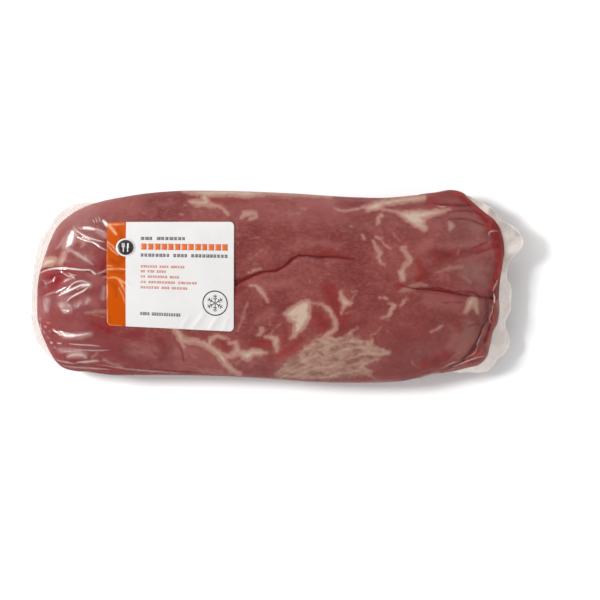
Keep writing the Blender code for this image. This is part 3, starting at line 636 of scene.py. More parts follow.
def fold_height(px, py, folds):
    """Height of the label's folds, in metres: a bell across each fold that tapers to its ends."""
    height = np.zeros_like(px)
    for half, rise, line in folds:
        run = line_run(line)
        for (ax, ay), (bx, by), before, after in zip(line, line[1:], run, run[1:]):
            step = after - before
            along = np.clip(((px - ax) * (bx - ax) + (py - ay) * (by - ay)) / (step * step), 0.0, 1.0)
            off = np.hypot(px - ax - along * (bx - ax), py - ay - along * (by - ay))
            share = (before + along * step) / run[-1]
            taper = (4.0 * share * (1.0 - share) + 0.02) ** 0.4
            height = np.maximum(height, MM * rise * taper * np.exp(-((off / half) ** 2)))
    return height


def label_share(x, y):
    """How far inside the label a plan point lies: 0 outside, 1 from two millimetres inside."""
    (low_x, high_y), (high_x, _), (_, right_y), (_, left_y) = LABEL_CORNERS
    low_y = left_y + (x - low_x) / (high_x - low_x) * (right_y - left_y)
    inside = np.minimum.reduce([x - low_x, high_x - x, high_y - y, y - low_y])
    return ease(inside / (2 * MM))


def film_drop(x, y, sizes):
    """How far the film lies under the plain dome: the crease, the pocket at the right end and
    the hollow at the left one, with a gentle unevenness."""
    off = (y - smooth(x, CREASE_LINE)) / CREASE_WIDTH
    crease = smooth(x, CREASE_DEPTH) / (1.0 + off * off) ** 1.5
    px, py = photo_place(x, y, dome_height(x, y))
    pocket = sizes.pocket_depth * ease(stroke_depth(px, py, (POCKET,)) / 4.0)
    hollow = sizes.hollow_depth * ease((stroke_depth(px, py, (HOLLOW,)) + 1.0) / 6.0)
    lumps = sizes.lump * waves(x, y, LUMP_LENGTH, LUMP_SEED) + 0.12 * sizes.lump * waves(x, y, 0.013, 5)
    return crease + pocket + hollow - lumps * (1.0 - 0.7 * label_share(x, y))


def film_top(x, y, sizes):
    """Height of the film over the meat: the dome less the film's drop."""
    return dome_height(x, y, film_drop(x, y, sizes))


def grid_normals(rings):
    """Unit normals of a grid of points that closes on itself along its rows."""
    along = np.roll(rings, -1, axis=1) - np.roll(rings, 1, axis=1)
    across = np.gradient(rings, axis=0)
    normal = np.cross(along, across)
    length = np.linalg.norm(normal, axis=2, keepdims=True)
    flat = np.array((0.0, 0.0, 1.0))
    return np.where(length > 1e-15, normal / np.maximum(length, 1e-15), flat)


def points_of(x, y, z):
    """A grid of points from grids of x, y and z."""
    return np.stack(np.broadcast_arrays(x, y, z), axis=-1)


def ring_grid(middle, edge, shares):
    """Plan grids of rings: each share of the way from the middle points to the edge's points."""
    share = np.array(shares)[:, None]
    x, y = np.moveaxis(middle + share[..., None] * (edge - middle), -1, 0)
    return x, y, share


def ring_faces(rings, count, closed=True):
    """Four-sided faces between rings of count points, row after row, as one array."""
    row = np.arange(count if closed else count - 1)
    after = (row + 1) % count
    start = (np.arange(rings - 1) * count)[:, None]
    quads = np.stack([start + row, start + after, start + count + after, start + count + row], axis=-1)
    return quads.reshape(-1, 4)


def new_piece(name, points, faces, materials, merge=1e-6):
    """A closed mesh object from arrays of points and faces: doubled points are merged, unless
    merge is nothing, and the faces turned outwards. Its place is in its mesh."""
    mesh = bpy.data.meshes.new(name)
    mesh.from_pydata(points.reshape(-1, 3) + np.array((*SHIFT, 0.0)), [], faces.tolist())
    shape = bmesh.new()
    shape.from_mesh(mesh)
    if merge:
        bmesh.ops.remove_doubles(shape, verts=shape.verts, dist=merge)
        bmesh.ops.dissolve_degenerate(shape, dist=1e-7, edges=shape.edges)
    bmesh.ops.recalc_face_normals(shape, faces=shape.faces)
    shape.to_mesh(mesh)
    shape.free()
    for material in materials:
        mesh.materials.append(material)
    mesh.shade_smooth()
    piece = bpy.data.objects.new(name, mesh)
    bpy.context.scene.collection.objects.link(piece)
    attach(piece, "root")
    return piece


def plan_points(piece):
    """The piece's points as plan x, y and z arrays."""
    flat = np.empty(len(piece.data.vertices) * 3)
    piece.data.vertices.foreach_get("co", flat)
    x, y, z = flat.reshape(-1, 3).T
    return x - SHIFT[0], y - SHIFT[1], z


def set_mark(piece, name, values):
    """Keep one number for each point of a piece, for its material to read."""
    mark = piece.data.attributes.new(name, "FLOAT", "POINT")
    mark.data.foreach_set("value", values.astype(np.float32))


def resampled(line, count):
    """A polyline's points at even steps along it."""
    run = line_run(line)
    at = np.linspace(0.0, run[-1], count)
    return np.column_stack([np.interp(at, run, along) for along in np.array(line, dtype=float).T])


def end_arc(tip, side, end, low, high, share, steps=160):
    """Points of the widest line round one end between two angles, a little inside it."""
    angle = np.linspace(low, high, steps)
    turn = np.radians(angle)
    reach = smooth(angle, end) * share
    return np.column_stack([tip + side * np.sin(turn) * reach, np.cos(turn) * reach])


class Finish:
    """A node material being put together."""

    def __init__(self, name):
        self.material = bpy.data.materials.new(name)
        self.material.use_nodes = True
        self.tree = self.material.node_tree
        self.shader = self.tree.nodes["Principled BSDF"]
        self.output = self.tree.nodes["Material Output"]
        self.place = self.node("ShaderNodeTexCoord").outputs["Object"]

    def fix(self, name, value):
        self.shader.inputs[name].default_value = value

    def node(self, kind, **settings):
        made = self.tree.nodes.new(kind)
        for key, value in settings.items():
            setattr(made, key, value)
        return made

    def put(self, value, socket):
        if isinstance(value, bpy.types.NodeSocket):
            self.tree.links.new(value, socket)
        else:
            socket.default_value = value

    def stretched(self, scale, turn=0.0):
        mapping = self.node("ShaderNodeMapping")
        self.put(self.place, mapping.inputs["Vector"])
        mapping.inputs["Scale"].default_value = scale
        mapping.inputs["Rotation"].default_value = (0.0, 0.0, turn)
        return mapping.outputs["Vector"]

    def noise(self, size, detail=3.0, rough=0.55, place=None, warp=0.0):
        """Noise whose largest patches are about size metres across."""
        made = self.node("ShaderNodeTexNoise")
        self.put(place or self.place, made.inputs["Vector"])
        made.inputs["Scale"].default_value = 1.0 / size
        made.inputs["Detail"].default_value = detail
        made.inputs["Roughness"].default_value = rough
        made.inputs["Distortion"].default_value = warp
        return made.outputs["Fac"]

    def sum(self, operation, first, second=0.0):
        made = self.node("ShaderNodeMath", operation=operation)
        self.put(first, made.inputs[0])
        self.put(second, made.inputs[1])
        return made.outputs[0]

    def spread(self, value, low, high, to_low=0.0, to_high=1.0):
        """A value between low and high eased on to between to_low and to_high."""
        made = self.node("ShaderNodeMapRange", interpolation_type="SMOOTHSTEP")
        for socket, number in zip(made.inputs, (value, low, high, to_low, to_high)):
            self.put(number, socket)
        return made.outputs["Result"]

    def blend(self, share, first, second):
        made = self.node("ShaderNodeMix", data_type="RGBA")
        self.put(share, made.inputs[0])
        self.put(first, made.inputs[6])
        self.put(second, made.inputs[7])
        return made.outputs[2]

    def along(self, axis):
        """The object coordinate along one axis."""
        made = self.node("ShaderNodeSeparateXYZ")
        self.put(self.place, made.inputs[0])
        return made.outputs[axis]

    def vein(self, value, middle, half, share):
        """A share along the lines where a value passes its middle, fading out within half."""
        off = self.sum("ABSOLUTE", self.sum("SUBTRACT", value, middle))
        return self.spread(off, 0.0, half, share, 0.0)

    def mark(self, name):
        return self.node("ShaderNodeAttribute", attribute_name=name).outputs["Fac"]

    def bump(self, height, distance, strength=1.0, under=None):
        made = self.node("ShaderNodeBump")
        self.put(height, made.inputs["Height"])
        made.inputs["Distance"].default_value = distance
        made.inputs["Strength"].default_value = strength
        if under is not None:
            self.put(under, made.inputs["Normal"])
        return made.outputs["Normal"]


class MEATPACK_PG_sizes(bpy.types.PropertyGroup):
    """Sizes of the soft and printed pieces."""

    film_gap: FloatProperty(
        name="Film gap", description="Clearance between the meat and the film over it",
        default=0.00035, min=0.0001, unit="LENGTH")
    hollow_depth: FloatProperty(
        name="Hollow depth", description="How far the pack dips where the crease meets the left end",
        default=0.0018, min=0.0, unit="LENGTH")
    pocket_depth: FloatProperty(
        name="Pocket depth", description="How far the film dips beyond the front loin's end",
        default=0.0035, min=0.0, unit="LENGTH")
    lump: FloatProperty(
        name="Lump", description="Height of the meat's gentle unevenness",
        default=0.00035, min=0.0, unit="LENGTH")
    label_lift: FloatProperty(
        name="Label lift", description="Height of the label's underside over the film",
        default=0.00014, min=0.0, unit="LENGTH")
    label_thick: FloatProperty(
        name="Label thickness", description="Thickness of the paper",
        default=0.00018, min=0.0, unit="LENGTH")
    ring_points: IntProperty(
        name="Ring points", description="Points round a loin's plan",
        default=1000, min=200)


class MEATPACK_PG_colours(bpy.types.PropertyGroup):
    """Colours of the meat, the juice and the print."""

    meat: FloatVectorProperty(
        name="Meat", description="Lean meat", subtype="COLOR", size=4, default=(0.235, 0.061, 0.056, 1.0))
    meat_deep: FloatVectorProperty(
        name="Deep meat", description="Darker lean meat", subtype="COLOR", size=4,
        default=(0.158, 0.030, 0.028, 1.0))
    # Pale meat also colours the paler strokes, which are partly painted reflection and highlight
    meat_pale: FloatVectorProperty(
        name="Pale meat", description="Lean meat under a thin milky layer", subtype="COLOR", size=4,
        default=(0.335, 0.118, 0.108, 1.0))
    juice: FloatVectorProperty(
        name="Juice", description="Red juice drawn into the creases", subtype="COLOR", size=4,
        default=(0.195, 0.006, 0.012, 1.0))
    fat: FloatVectorProperty(
        name="Fat", description="Fat patches", subtype="COLOR", size=4, default=(0.405, 0.265, 0.205, 1.0))
    skin: FloatVectorProperty(
        name="Silverskin", description="Fibrous membrane", subtype="COLOR", size=4,
        default=(0.305, 0.165, 0.122, 1.0))
    orange: FloatVectorProperty(
        name="Orange", description="Printed band and bold line", subtype="COLOR", size=4,
        default=(0.47, 0.067, 0.000, 1.0))
    salmon: FloatVectorProperty(
        name="Salmon", description="Small printed lines", subtype="COLOR", size=4,
        default=(0.58, 0.27, 0.22, 1.0))
    ink: FloatVectorProperty(
        name="Ink", description="Dark print", subtype="COLOR", size=4, default=(0.018, 0.014, 0.014, 1.0))
    paper: FloatVectorProperty(
        name="Paper", description="Coated label paper", subtype="COLOR", size=4,
        default=(0.665, 0.650, 0.640, 1.0))


def meat_finish(colours):
    """Lean meat with grain and fibres along its length, and fat, membrane and juice where the
    marks say, each with an edge that frays."""
    f = Finish("meat")
    deep, pale = tuple(colours.meat_deep), tuple(colours.meat_pale)
    mottle = f.noise(0.0070, 4.0, 0.6, f.stretched((0.6, 1.0, 1.0), 0.3), 0.6)
    grain = f.noise(0.0026, 5.0, 0.68, f.stretched((0.8, 1.0, 1.0), -0.4), 0.5)
    fibre = f.noise(0.0013, 4.0, 0.7, f.stretched((0.42, 1.0, 1.0), -0.45), 0.4)
    fray = f.sum("SUBTRACT", f.noise(0.0034, 5.0, 0.70), 0.5)
    drift = f.sum("SUBTRACT", f.noise(0.0100, 3.0, 0.6), 0.5)
    colour = f.blend(f.spread(f.noise(0.040, 3.0), 0.30, 0.68), deep, tuple(colours.meat))
    for value, low, high, share in ((mottle, 0.48, 0.74, 0.34), (grain, 0.47, 0.70, 0.32),
                                    (fibre, 0.46, 0.70, 0.26)):
        colour = f.blend(f.spread(value, low, high, 0.0, share), colour, pale)
        colour = f.blend(f.spread(value, 0.98 - low, 0.98 - high, 0.0, share), colour, deep)

    # Darker where marked, rosier at the left: partly the meat's own colour, partly painted shade
    rosy = f.blend(f.spread(f.along("X"), -0.10, -0.06), ROSY_SHADE, deep)
    colour = f.blend(f.mark("darker_and_shade"), colour, rosy)

    def lay(name, wander, low, high, share, tone, uneven=fray):
        edge = f.sum("ADD", f.mark(name), f.sum("MULTIPLY", uneven, wander))
        return f.blend(f.spread(edge, low, high, 0.0, share), colour, tone)

    # Paler places: partly paler meat, partly painted reflection of the film and painted highlight along its
    # wrinkles
    colour = lay("pale", 8.0, -5.0, 4.0, 0.38, pale, drift)
    blood = f.blend(f.spread(drift, -0.14, 0.14), BLOOD_DARK, BLOOD_LIGHT)
    colour = lay("red", 9.0, -4.5, 4.0, 0.64, blood, drift)
    right = f.spread(f.along("X"), 0.06, 0.13)
    bright = f.blend(f.spread(mottle, 0.40, 0.60), RIM_DARK, RIM_LIGHT)
    colour = lay("crimson", 9.0, -3.0, 3.0, 0.86, f.blend(right, tuple(colours.juice), bright))
    # Greyer patches: partly membrane, partly painted grey reflection of the film
    colour = lay("grey", 15.0, -3.5, 5.5, 0.40, SKIN_AND_REFLECTION_GREY, drift)
    web = f.noise(0.0068, 5.0, 0.62, f.stretched((0.55, 1.0, 1.0), 0.35), 1.4)
    net = f.noise(0.0027, 4.0, 0.66, f.stretched((0.5, 1.0, 1.0), -0.3), 1.0)
    strands = f.sum("MAXIMUM", f.vein(web, 0.5, 0.085, 1.0), f.vein(net, 0.5, 0.09, 0.55))
    strands = f.sum("MULTIPLY", strands, f.spread(drift, -0.20, 0.16, 0.45, 1.0))
    skin = f.blend(f.spread(drift, -0.16, 0.12), SKIN_DARK, tuple(colours.skin))
    skin = f.blend(f.sum("MULTIPLY", strands, 0.54), skin, SKIN_STRAND)
    colour = lay("skin", 12.0, -2.0, 3.5, 0.94, skin)
    depth = f.sum("ADD", f.mark("fat"), f.sum("MULTIPLY", drift, 6.0))
    fat = f.blend(f.spread(depth, 0.6, 3.8), FAT_THIN, tuple(colours.fat))
    fat = f.blend(f.spread(grain, 0.42, 0.66, 0.0, 0.50), fat, FAT_THIN)
    streak = f.noise(0.0016, 4.0, 0.65, f.stretched((1.0, 0.30, 1.0), 0.5), 0.6)
    depth = f.sum("ADD", f.mark("fat"), f.sum("MULTIPLY", fray, 5.0))
    fat = f.blend(f.spread(depth, 2.0, 5.0, 0.0, 0.90), fat, FAT_THICK)
    fat = f.blend(f.spread(streak, 0.50, 0.70, 0.0, 0.42), fat, FAT_THIN)
    colour = lay("fat", 4.5, -3.2, 0.6, 0.42, pale)
    colour = lay("fat", 6.5, -1.3, 1.0, 0.96, fat)
    colour = lay("faint", 5.0, -1.4, 2.0, 0.60, FAT_THIN)
    colour = lay("strand", 3.4, -1.3, 1.3, 0.46, HAIR)
    colour = lay("hole", 4.0, -1.6, 2.0, 0.72, PIT)
    colour = lay("line", 2.0, -1.1, 1.0, 0.84, CUT)
    f.put(colour, f.shader.inputs["Base Color"])
    f.fix("Roughness", 0.45)
    f.fix("Specular IOR Level", 0.05)
    f.fix("Subsurface Weight", 0.08)
    f.fix("Subsurface Radius", (0.0020, 0.0007, 0.0005))
    f.fix("Subsurface Scale", 1.0)
    coarse = f.bump(mottle, 0.00030, 0.5)
    f.put(f.bump(grain, 0.00012, 0.8, coarse), f.shader.inputs["Normal"])
    return f.material


def film_finish(name, milkiness, tints, veils, gloss_rough, wrinkle):
    """Thin clear film: light passes straight through, with a gloss that grows at low angles
    and fine wrinkles. milkiness gives the share of it that scatters, a share of creases in it
    and how matt it is; tints are its colours out of and in creases, or one colour for both,
    and veils the colours of the scattering share where thin and thick. On the clear film and
    its folds that share also carries painted glints and painted reflection."""
    f = Finish(name)
    f.tree.nodes.remove(f.shader)
    fine = f.bump(f.noise(0.0022, 3.0, 0.6, f.stretched((0.6, 1.0, 1.0), 0.5), 0.6), 0.0001, wrinkle)
    normal = f.bump(f.noise(0.011, 2.0, 0.5, None, 0.5), 0.0006, wrinkle, fine)
    clear = f.node("ShaderNodeBsdfTransparent")
    gloss = f.node("ShaderNodeBsdfGlossy")
    gloss.inputs["Roughness"].default_value = gloss_rough
    milk_and_reflection = f.node("ShaderNodeBsdfDiffuse")
    facing = f.node("ShaderNodeLayerWeight")
    facing.inputs["Blend"].default_value = 0.5
    for shader in (gloss, milk_and_reflection, facing):
        f.put(normal, shader.inputs["Normal"])
    share, creased, matt = milkiness(f)
    grazing = f.sum("MULTIPLY", f.sum("POWER", facing.outputs["Facing"], 5.0), 0.07)
    shine = f.sum("ADD", f.sum("MULTIPLY", matt, -0.88 * MIRROR), MIRROR)
    shine = f.sum("ADD", grazing, shine)
    f.put(f.blend(creased, *tints) if len(tints) > 1 else tints[0], clear.inputs["Color"])
    f.put(f.blend(f.spread(share, 0.25, 0.75), *veils), milk_and_reflection.inputs["Color"])
    body = f.node("ShaderNodeMixShader")
    coat = f.node("ShaderNodeMixShader")
    for mix, part, first, second in ((body, share, clear, milk_and_reflection), (coat, shine, body, gloss)):
        f.put(part, mix.inputs[0])
        f.put(first.outputs[0], mix.inputs[1])
        f.put(second.outputs[0], mix.inputs[2])
    f.put(coat.outputs[0], f.output.inputs["Surface"])
    return f.material


def print_finish(name, colour, roughness=0.38, glints=None):
    """Coated paper or ink: nearly even colour with a faint mottle and paper tooth, and where
    film is drawn tight over it painted glints of a colour and painted shade in its creases."""
    f = Finish(name)
    tone = f.noise(0.012, 2.0)
    darker = tuple(0.97 * c for c in colour[:3]) + (1.0,)
    tone = f.blend(f.spread(tone, 0.35, 0.7), darker, tuple(colour))
    if glints:
        patchy = f.spread(f.noise(0.004, 3.0), 0.30, 0.62, 0.5, 1.0)
        dark = tuple(0.72 * c for c in colour[:3]) + (1.0,)
        for mark, shade in (("shade", dark), ("glint", glints)):
            tone = f.blend(f.sum("MULTIPLY", f.mark(mark), patchy), tone, shade)
        f.fix("Specular IOR Level", 0.2)
    f.put(tone, f.shader.inputs["Base Color"])
    f.fix("Roughness", roughness)
    f.fix("Coat Weight", 0.15 if glints else 0.35)
    f.fix("Coat Roughness", 0.12)
    f.put(f.bump(f.noise(0.0009, 3.0), 0.00002, 0.3), f.shader.inputs["Normal"])
    return f.material


def crease_side(x, side):
    """The edge of one loin along the crease: a hair clear of the crease line, and pressed a
    hair past it where the crease fades out."""
    shown = np.clip(smooth(x, CREASE_DEPTH) / 0.0012, 0.0, 1.0)
    return smooth(x, CREASE_LINE) + side * (0.00010 * shown - 0.00008)


def crease_points(start, stop, side, steps=260):
    """Points along one loin's edge at the crease."""
    x = np.linspace(start, stop, steps)
    return np.column_stack([x, crease_side(x, side)])


def cyclic_blur(values, width):
    """A ring of values, each averaged with its neighbours."""
    kernel = np.hanning(2 * width + 1)
    kernel /= kernel.sum()
    padded = np.concatenate([values[-width:], values, values[:width]])
    return np.convolve(padded, kernel, mode="valid")


def loin_plan(side, count):
    """Plan of a loin: its outline of count points, once round, and the middle point that each
    faces. The outline runs along the pack's widest line, round the right cap, back along the
    crease and round the left cap. side is 1 at the back and -1 at the front."""
    low_x, high_x, share = LEFT_TIP, 0.090, 0.993
    middle_x = np.linspace(low_x, high_x, int(0.30 * count))
    outer = side * smooth(middle_x, BACK_EDGE if side > 0 else FRONT_EDGE) * share
    inner = crease_side(middle_x, side)
    start, meet = (0, 80) if side > 0 else (180, 82)
    left_cap = np.concatenate([end_arc(LEFT_TIP, -1, LEFT_END, start, meet, share),
                               crease_points(-0.1655, low_x, side)])
    if side > 0:
        tail = [end_arc(RIGHT_TIP, 1, RIGHT_END, 0, 98.5, share), crease_points(0.1535, high_x, side)]
    else:
        tail = [end_arc(RIGHT_TIP, 1, RIGHT_END, 180, 163, share), resampled(END_EDGE[::-1], 120),
                crease_points(END_EDGE[0][0], high_x, side)]
    right_cap = np.concatenate([np.array([[high_x, outer[-1]]]), *tail])
    caps = int(0.20 * count)
    left_cap, right_cap = resampled(left_cap, caps)[::-1], resampled(right_cap, caps)
    along = np.column_stack([middle_x, 0.5 * (inner + outer)])
    outline = np.concatenate([np.column_stack([middle_x, outer]), right_cap[1:-1],
                              np.column_stack([middle_x, inner])[::-1], left_cap[1:-1]])
    middle = np.concatenate([along, np.tile(along[-1], (caps - 2, 1)), along[::-1],
                             np.tile(along[0], (caps - 2, 1))])
    return middle, outline


def make_loin(name, side, sizes, material):
    """One loin: a closed form of rings over the top, down a low wall and under. Its top is
    the film's height less the gap and a narrow groove along the crease, turned down in a
    quarter round at its free end, and its underside follows the pack's own."""
    middle, outline = loin_plan(side, sizes.ring_points)
    length = np.hypot(*(outline - middle).T)
    free = cyclic_blur((plan_share(*outline.T) < 0.985).astype(float), 6)
    beside = np.abs(outline[:, 1] - smooth(outline[:, 0], CREASE_LINE)) < 0.0012
    deep = cyclic_blur(np.where(beside, 0.0, 0.0014), 8) * free
    x, y, ring = ring_grid(middle, outline, 1.0 - (1.0 - np.linspace(0.0, 1.0, 54)) ** 1.45)
    groove = crease_shown(x) * 0.0005 * np.exp(-np.abs(y - smooth(x, CREASE_LINE)) / 0.0007)
    fine = 0.00004 * waves(x, y, 0.0052, 11)
    end = deep * quarter_drop((1.0 - ring) * length, 0.0045)
    drop = film_drop(x, y, sizes) + groove - fine + end
    top = points_of(x, y, dome_height(x, y, drop) - sizes.film_gap)
    x, y, ring = ring_grid(middle, outline, [*np.linspace(1.0, 0.72, 14), 0.5, 0.25, 0.0])
    foot = 0.006
    wall = foot * quarter_drop((1.0 - ring) * length, foot) * free
    under = points_of(x, y, np.maximum(under_height(plan_share(x, y)), wall) + sizes.film_gap)
    rings = np.concatenate([top, under])
    piece = new_piece(name, rings, ring_faces(len(rings), rings.shape[1]), [material])
    mark_meat(piece)
    return piece


def mark_meat(piece):
    """Give each point of a piece of meat its depth in the strokes of fat, membrane and juice.
    Under its widest line the marks run on outwards as if the wall were laid flat, and the
    strokes' edges wander by a pixel, as real ones do."""
    x, y, z = plan_points(piece)
    px, py = photo_place(x, y, z)
    near = np.clip(x, LEFT_TIP, RIGHT_TIP)
    out = np.maximum(np.hypot(x - near, y), 1e-6)
    down = np.maximum(SHOULDER - z, 0.0) / PIXEL
    px, py = px + (x - near) / out * down, py - y / out * down
    warped_x = px + 0.25 * waves(px, py, 8.0, 21) + 0.15 * waves(px, py, 3.4, 22)
    warped_y = py + 0.25 * waves(px, py, 8.0, 23) + 0.15 * waves(px, py, 3.4, 24)
    upper = z > 0.002

    # Darker meat, partly painted shade: the front of the left end, the low part on the right and the broad
    # strokes
    left = ease((138.0 - px) / 50.0) * (0.72 * ease((py - 226.0) / 36.0) + 0.10 * ease((py - 300.0) / 20.0))
    low_right = 0.30 * ease((px - 300.0) / 50.0) * ease((py - 285.0) / 30.0)
    shade = 0.84 * ease((stroke_depth(warped_x, warped_y, SHADE) + 4.0) / 8.0)
    set_mark(piece, "darker_and_shade", np.maximum.reduce([left, low_right, shade]))

    # The crease itself is a dark line with juice beside it, wherever it is deep enough to show
    crease = np.abs(y - smooth(x, CREASE_LINE)) / PIXEL
    shown = crease_shown(x) - 0.5
    for name, strokes in (("fat", FAT), ("faint", FAINT_FAT), ("skin", SILVERSKIN), ("grey", GREY_SKIN_AND_REFLECTION),
                          ("red", RED), ("crimson", CRIMSON), ("pale", PALE), ("line", DARK_LINES),
                          ("strand", STRANDS), ("hole", HOLES)):
        depth = stroke_depth(warped_x, warped_y, strokes)
        if name == "red":
            depth = np.maximum(depth, 4.0 * shown - 1.2 - crease)
        if name == "line":
            depth = np.maximum(depth, 1.9 * np.minimum(shown, 0.5) - 0.10 - crease)
        set_mark(piece, name, np.where(upper, depth, FAR_OUT))


def lay_on_film(x, y, sizes, over):
    """Height of something laid on the film without its crease: the dome, softly uneven, with
    the label's folds, and over."""
    top = dome_height(x, y, -0.3 * sizes.lump * waves(x, y, LUMP_LENGTH, LUMP_SEED))
    px, py = photo_place(x, y, top)
    return top + fold_height(px, py, LABEL_FOLDS) + over


def label_plan(u, v):
    """Plan point of a place on the label, from its left back corner, as shares of its sides."""
    a, b, c, d = (np.array(corner) for corner in LABEL_CORNERS)
    u, v = u[..., None], v[..., None]
    return (1 - v) * ((1 - u) * a + u * b) + v * ((1 - u) * d + u * c)


def closed_sheet_faces(rows, cols):
    """Faces of a thin sheet: a grid, the same grid turned over, and a strip round the rim."""
    size = rows * cols
    top = ring_faces(rows, cols, closed=False)
    rim = np.concatenate([np.arange(cols), np.arange(1, rows) * cols + cols - 1,
                          (rows - 1) * cols + np.arange(cols - 2, -1, -1),
                          np.arange(rows - 2, 0, -1) * cols])
    after = np.roll(rim, -1)
    edge = np.stack([rim, rim + size, after + size, after], axis=-1)
    return np.concatenate([top, (top + size)[:, ::-1], edge])


def joined_sheets(sheets):
    """Points and faces of thin closed sheets as one. A sheet is grids of x, y, low and high."""
    points, faces, start = [], [], 0
    for x, y, low, high in sheets:
        points += [points_of(x, y, high).reshape(-1, 3), points_of(x, y, low).reshape(-1, 3)]
        faces.append(start + closed_sheet_faces(*x.shape))
        start += 2 * x.size
    return np.concatenate(points), np.concatenate(faces)


def printed(name, patches, layer, sizes, material):
    """Flat printed shapes on the label, one thin closed slip each, joined as one piece. A
    patch is a grid of label places in millimetres from its left back corner, and layer is
    its height over the paper."""
    over = sizes.label_lift + sizes.label_thick + layer
    sheets = []
    for grid in patches:
        u, v = grid[..., 0] * MM / LABEL_WIDTH, grid[..., 1] * MM / LABEL_HEIGHT
        x, y = np.moveaxis(label_plan(u, v), -1, 0)
        low = lay_on_film(x, y, sizes, over)
        sheets.append((x, y, low, low + INK_THICK))
    piece = new_piece(name, *joined_sheets(sheets), [material])


def bar(left, top, width, height):
    """A rectangle on the label as a grid of places, in millimetres."""
    u = np.linspace(left, left + width, int(width / SLIP_STEP) + 2)
    v = np.linspace(top, top + height, int(height / SLIP_STEP) + 2)
    return np.stack(np.meshgrid(u, v), axis=-1)


def turned_bar(middle, length, width, angle, start=0.0):
    """A bar from a middle outwards at an angle in degrees."""
    along = np.linspace(start, start + length, int(length) + 1)
    across = np.array((-0.5 * width, 0.5 * width))
    turn = math.radians(angle)
    aa, bb = np.meshgrid(along, across)
    x = middle[0] + aa * math.cos(turn) - bb * math.sin(turn)
    y = middle[1] + aa * math.sin(turn) + bb * math.cos(turn)
    return np.stack([x, y], axis=-1)


def hoop(middle, inner, outer, steps=64):
    """A ring, or a disc if inner is nearly nothing, as a grid of places."""
    angle = np.linspace(0.0, 2 * math.pi, steps + 1)
    radius = np.linspace(inner, outer, 2 if outer - inner < 1.5 else 5)
    rr, aa = np.meshgrid(radius, angle)
    return np.stack([middle[0] + rr * np.cos(aa), middle[1] + rr * np.sin(aa)], axis=-1)


def word_blocks(left, top, width, height, words, seed, least=0.66):
    """A line of print as rows of small blocks in word-like groups: words gives the blocks in
    each group, and the blocks' widths are drawn from a seeded generator."""
    draw = np.random.default_rng(seed)
    slots = sum(words) + 0.8 * (len(words) - 1)
    pitch = width / slots
    blocks, at = [], left
    for word in words:
        for _ in range(word):
            share = draw.uniform(least, 0.90)
            blocks.append(bar(at, top, share * pitch, height))
            at += pitch
        at += 0.8 * pitch
    return blocks


class MEATPACK_OT_loins(bpy.types.Operator):
    """Make the two loins of meat that fill the bag."""

    bl_idname = "meatpack.loins"
    bl_label = "Meat"

    def execute(self, context):
        sizes, colours = context.scene.meatpack_sizes, context.scene.meatpack_colours
        material = meat_finish(colours)
        for name, side in (("back_loin", 1), ("front_loin", -1)):
            piece = make_loin(name, side, sizes, material)
            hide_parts("vacuum_bag")
        return {"FINISHED"}


class MEATPACK_OT_juice(bpy.types.Operator):
    """Make the red juice that stands in the pocket beyond the front loin's end."""

    bl_idname = "meatpack.juice"
    bl_label = "Juice"

    def execute(self, context):
        sizes, colours = context.scene.meatpack_sizes, context.scene.meatpack_colours
        count, rows = 160, 14
        inner = resampled(END_EDGE, count) + np.array((0.00015, -0.0001))
        outer = resampled(end_arc(RIGHT_TIP, 1, RIGHT_END, 99, 162, 0.990), count)
        x, y, share = ring_grid(inner, outer, np.linspace(0.0, 1.0, rows))
        low = under_height(plan_share(x, y)) + sizes.film_gap
        high = film_top(x, y, sizes) - sizes.film_gap - 0.0004 * np.sin(math.pi * share)
        points, faces = joined_sheets([(x, y, low, np.maximum(high, low + 0.0002))])
        f = Finish("juice")
        colour = f.blend(f.spread(f.noise(0.006, 3.0), 0.35, 0.7), JUICE_DARK, JUICE_LIGHT)
        streak = f.noise(0.0022, 3.0, 0.6, f.stretched((1.0, 0.35, 1.0), 0.3))
        streak = f.spread(streak, 0.5, 0.75, 0.0, 0.22)
        f.put(f.blend(streak, colour, tuple(colours.meat_pale)), f.shader.inputs["Base Color"])
        f.fix("Roughness", 0.30)
        piece = new_piece("juice", points, faces, [f.material])
        return {"FINISHED"}


def film_plan():
    """Points of the middle line and of the widest line that each faces, once round the pack:
    along the back, round the right end, along the front and round the left end."""
    along = np.linspace(LEFT_TIP, RIGHT_TIP, 100)
    level = np.zeros_like(along)
    right = end_arc(RIGHT_TIP, 1, RIGHT_END, 0, 180, 1.0, 282)[1:-1]
    left = end_arc(LEFT_TIP, -1, LEFT_END, 180, 0, 1.0, 372)[1:-1]
    middle = np.concatenate([
        np.column_stack([along, level]), np.tile((RIGHT_TIP, 0.0), (len(right), 1)),
        np.column_stack([along[::-1], level]), np.tile((LEFT_TIP, 0.0), (len(left), 1))])
    edge = np.concatenate([np.column_stack([along, smooth(along, BACK_EDGE)]), right,
                           np.column_stack([along, -smooth(along, FRONT_EDGE)])[::-1], left])
    return middle, edge


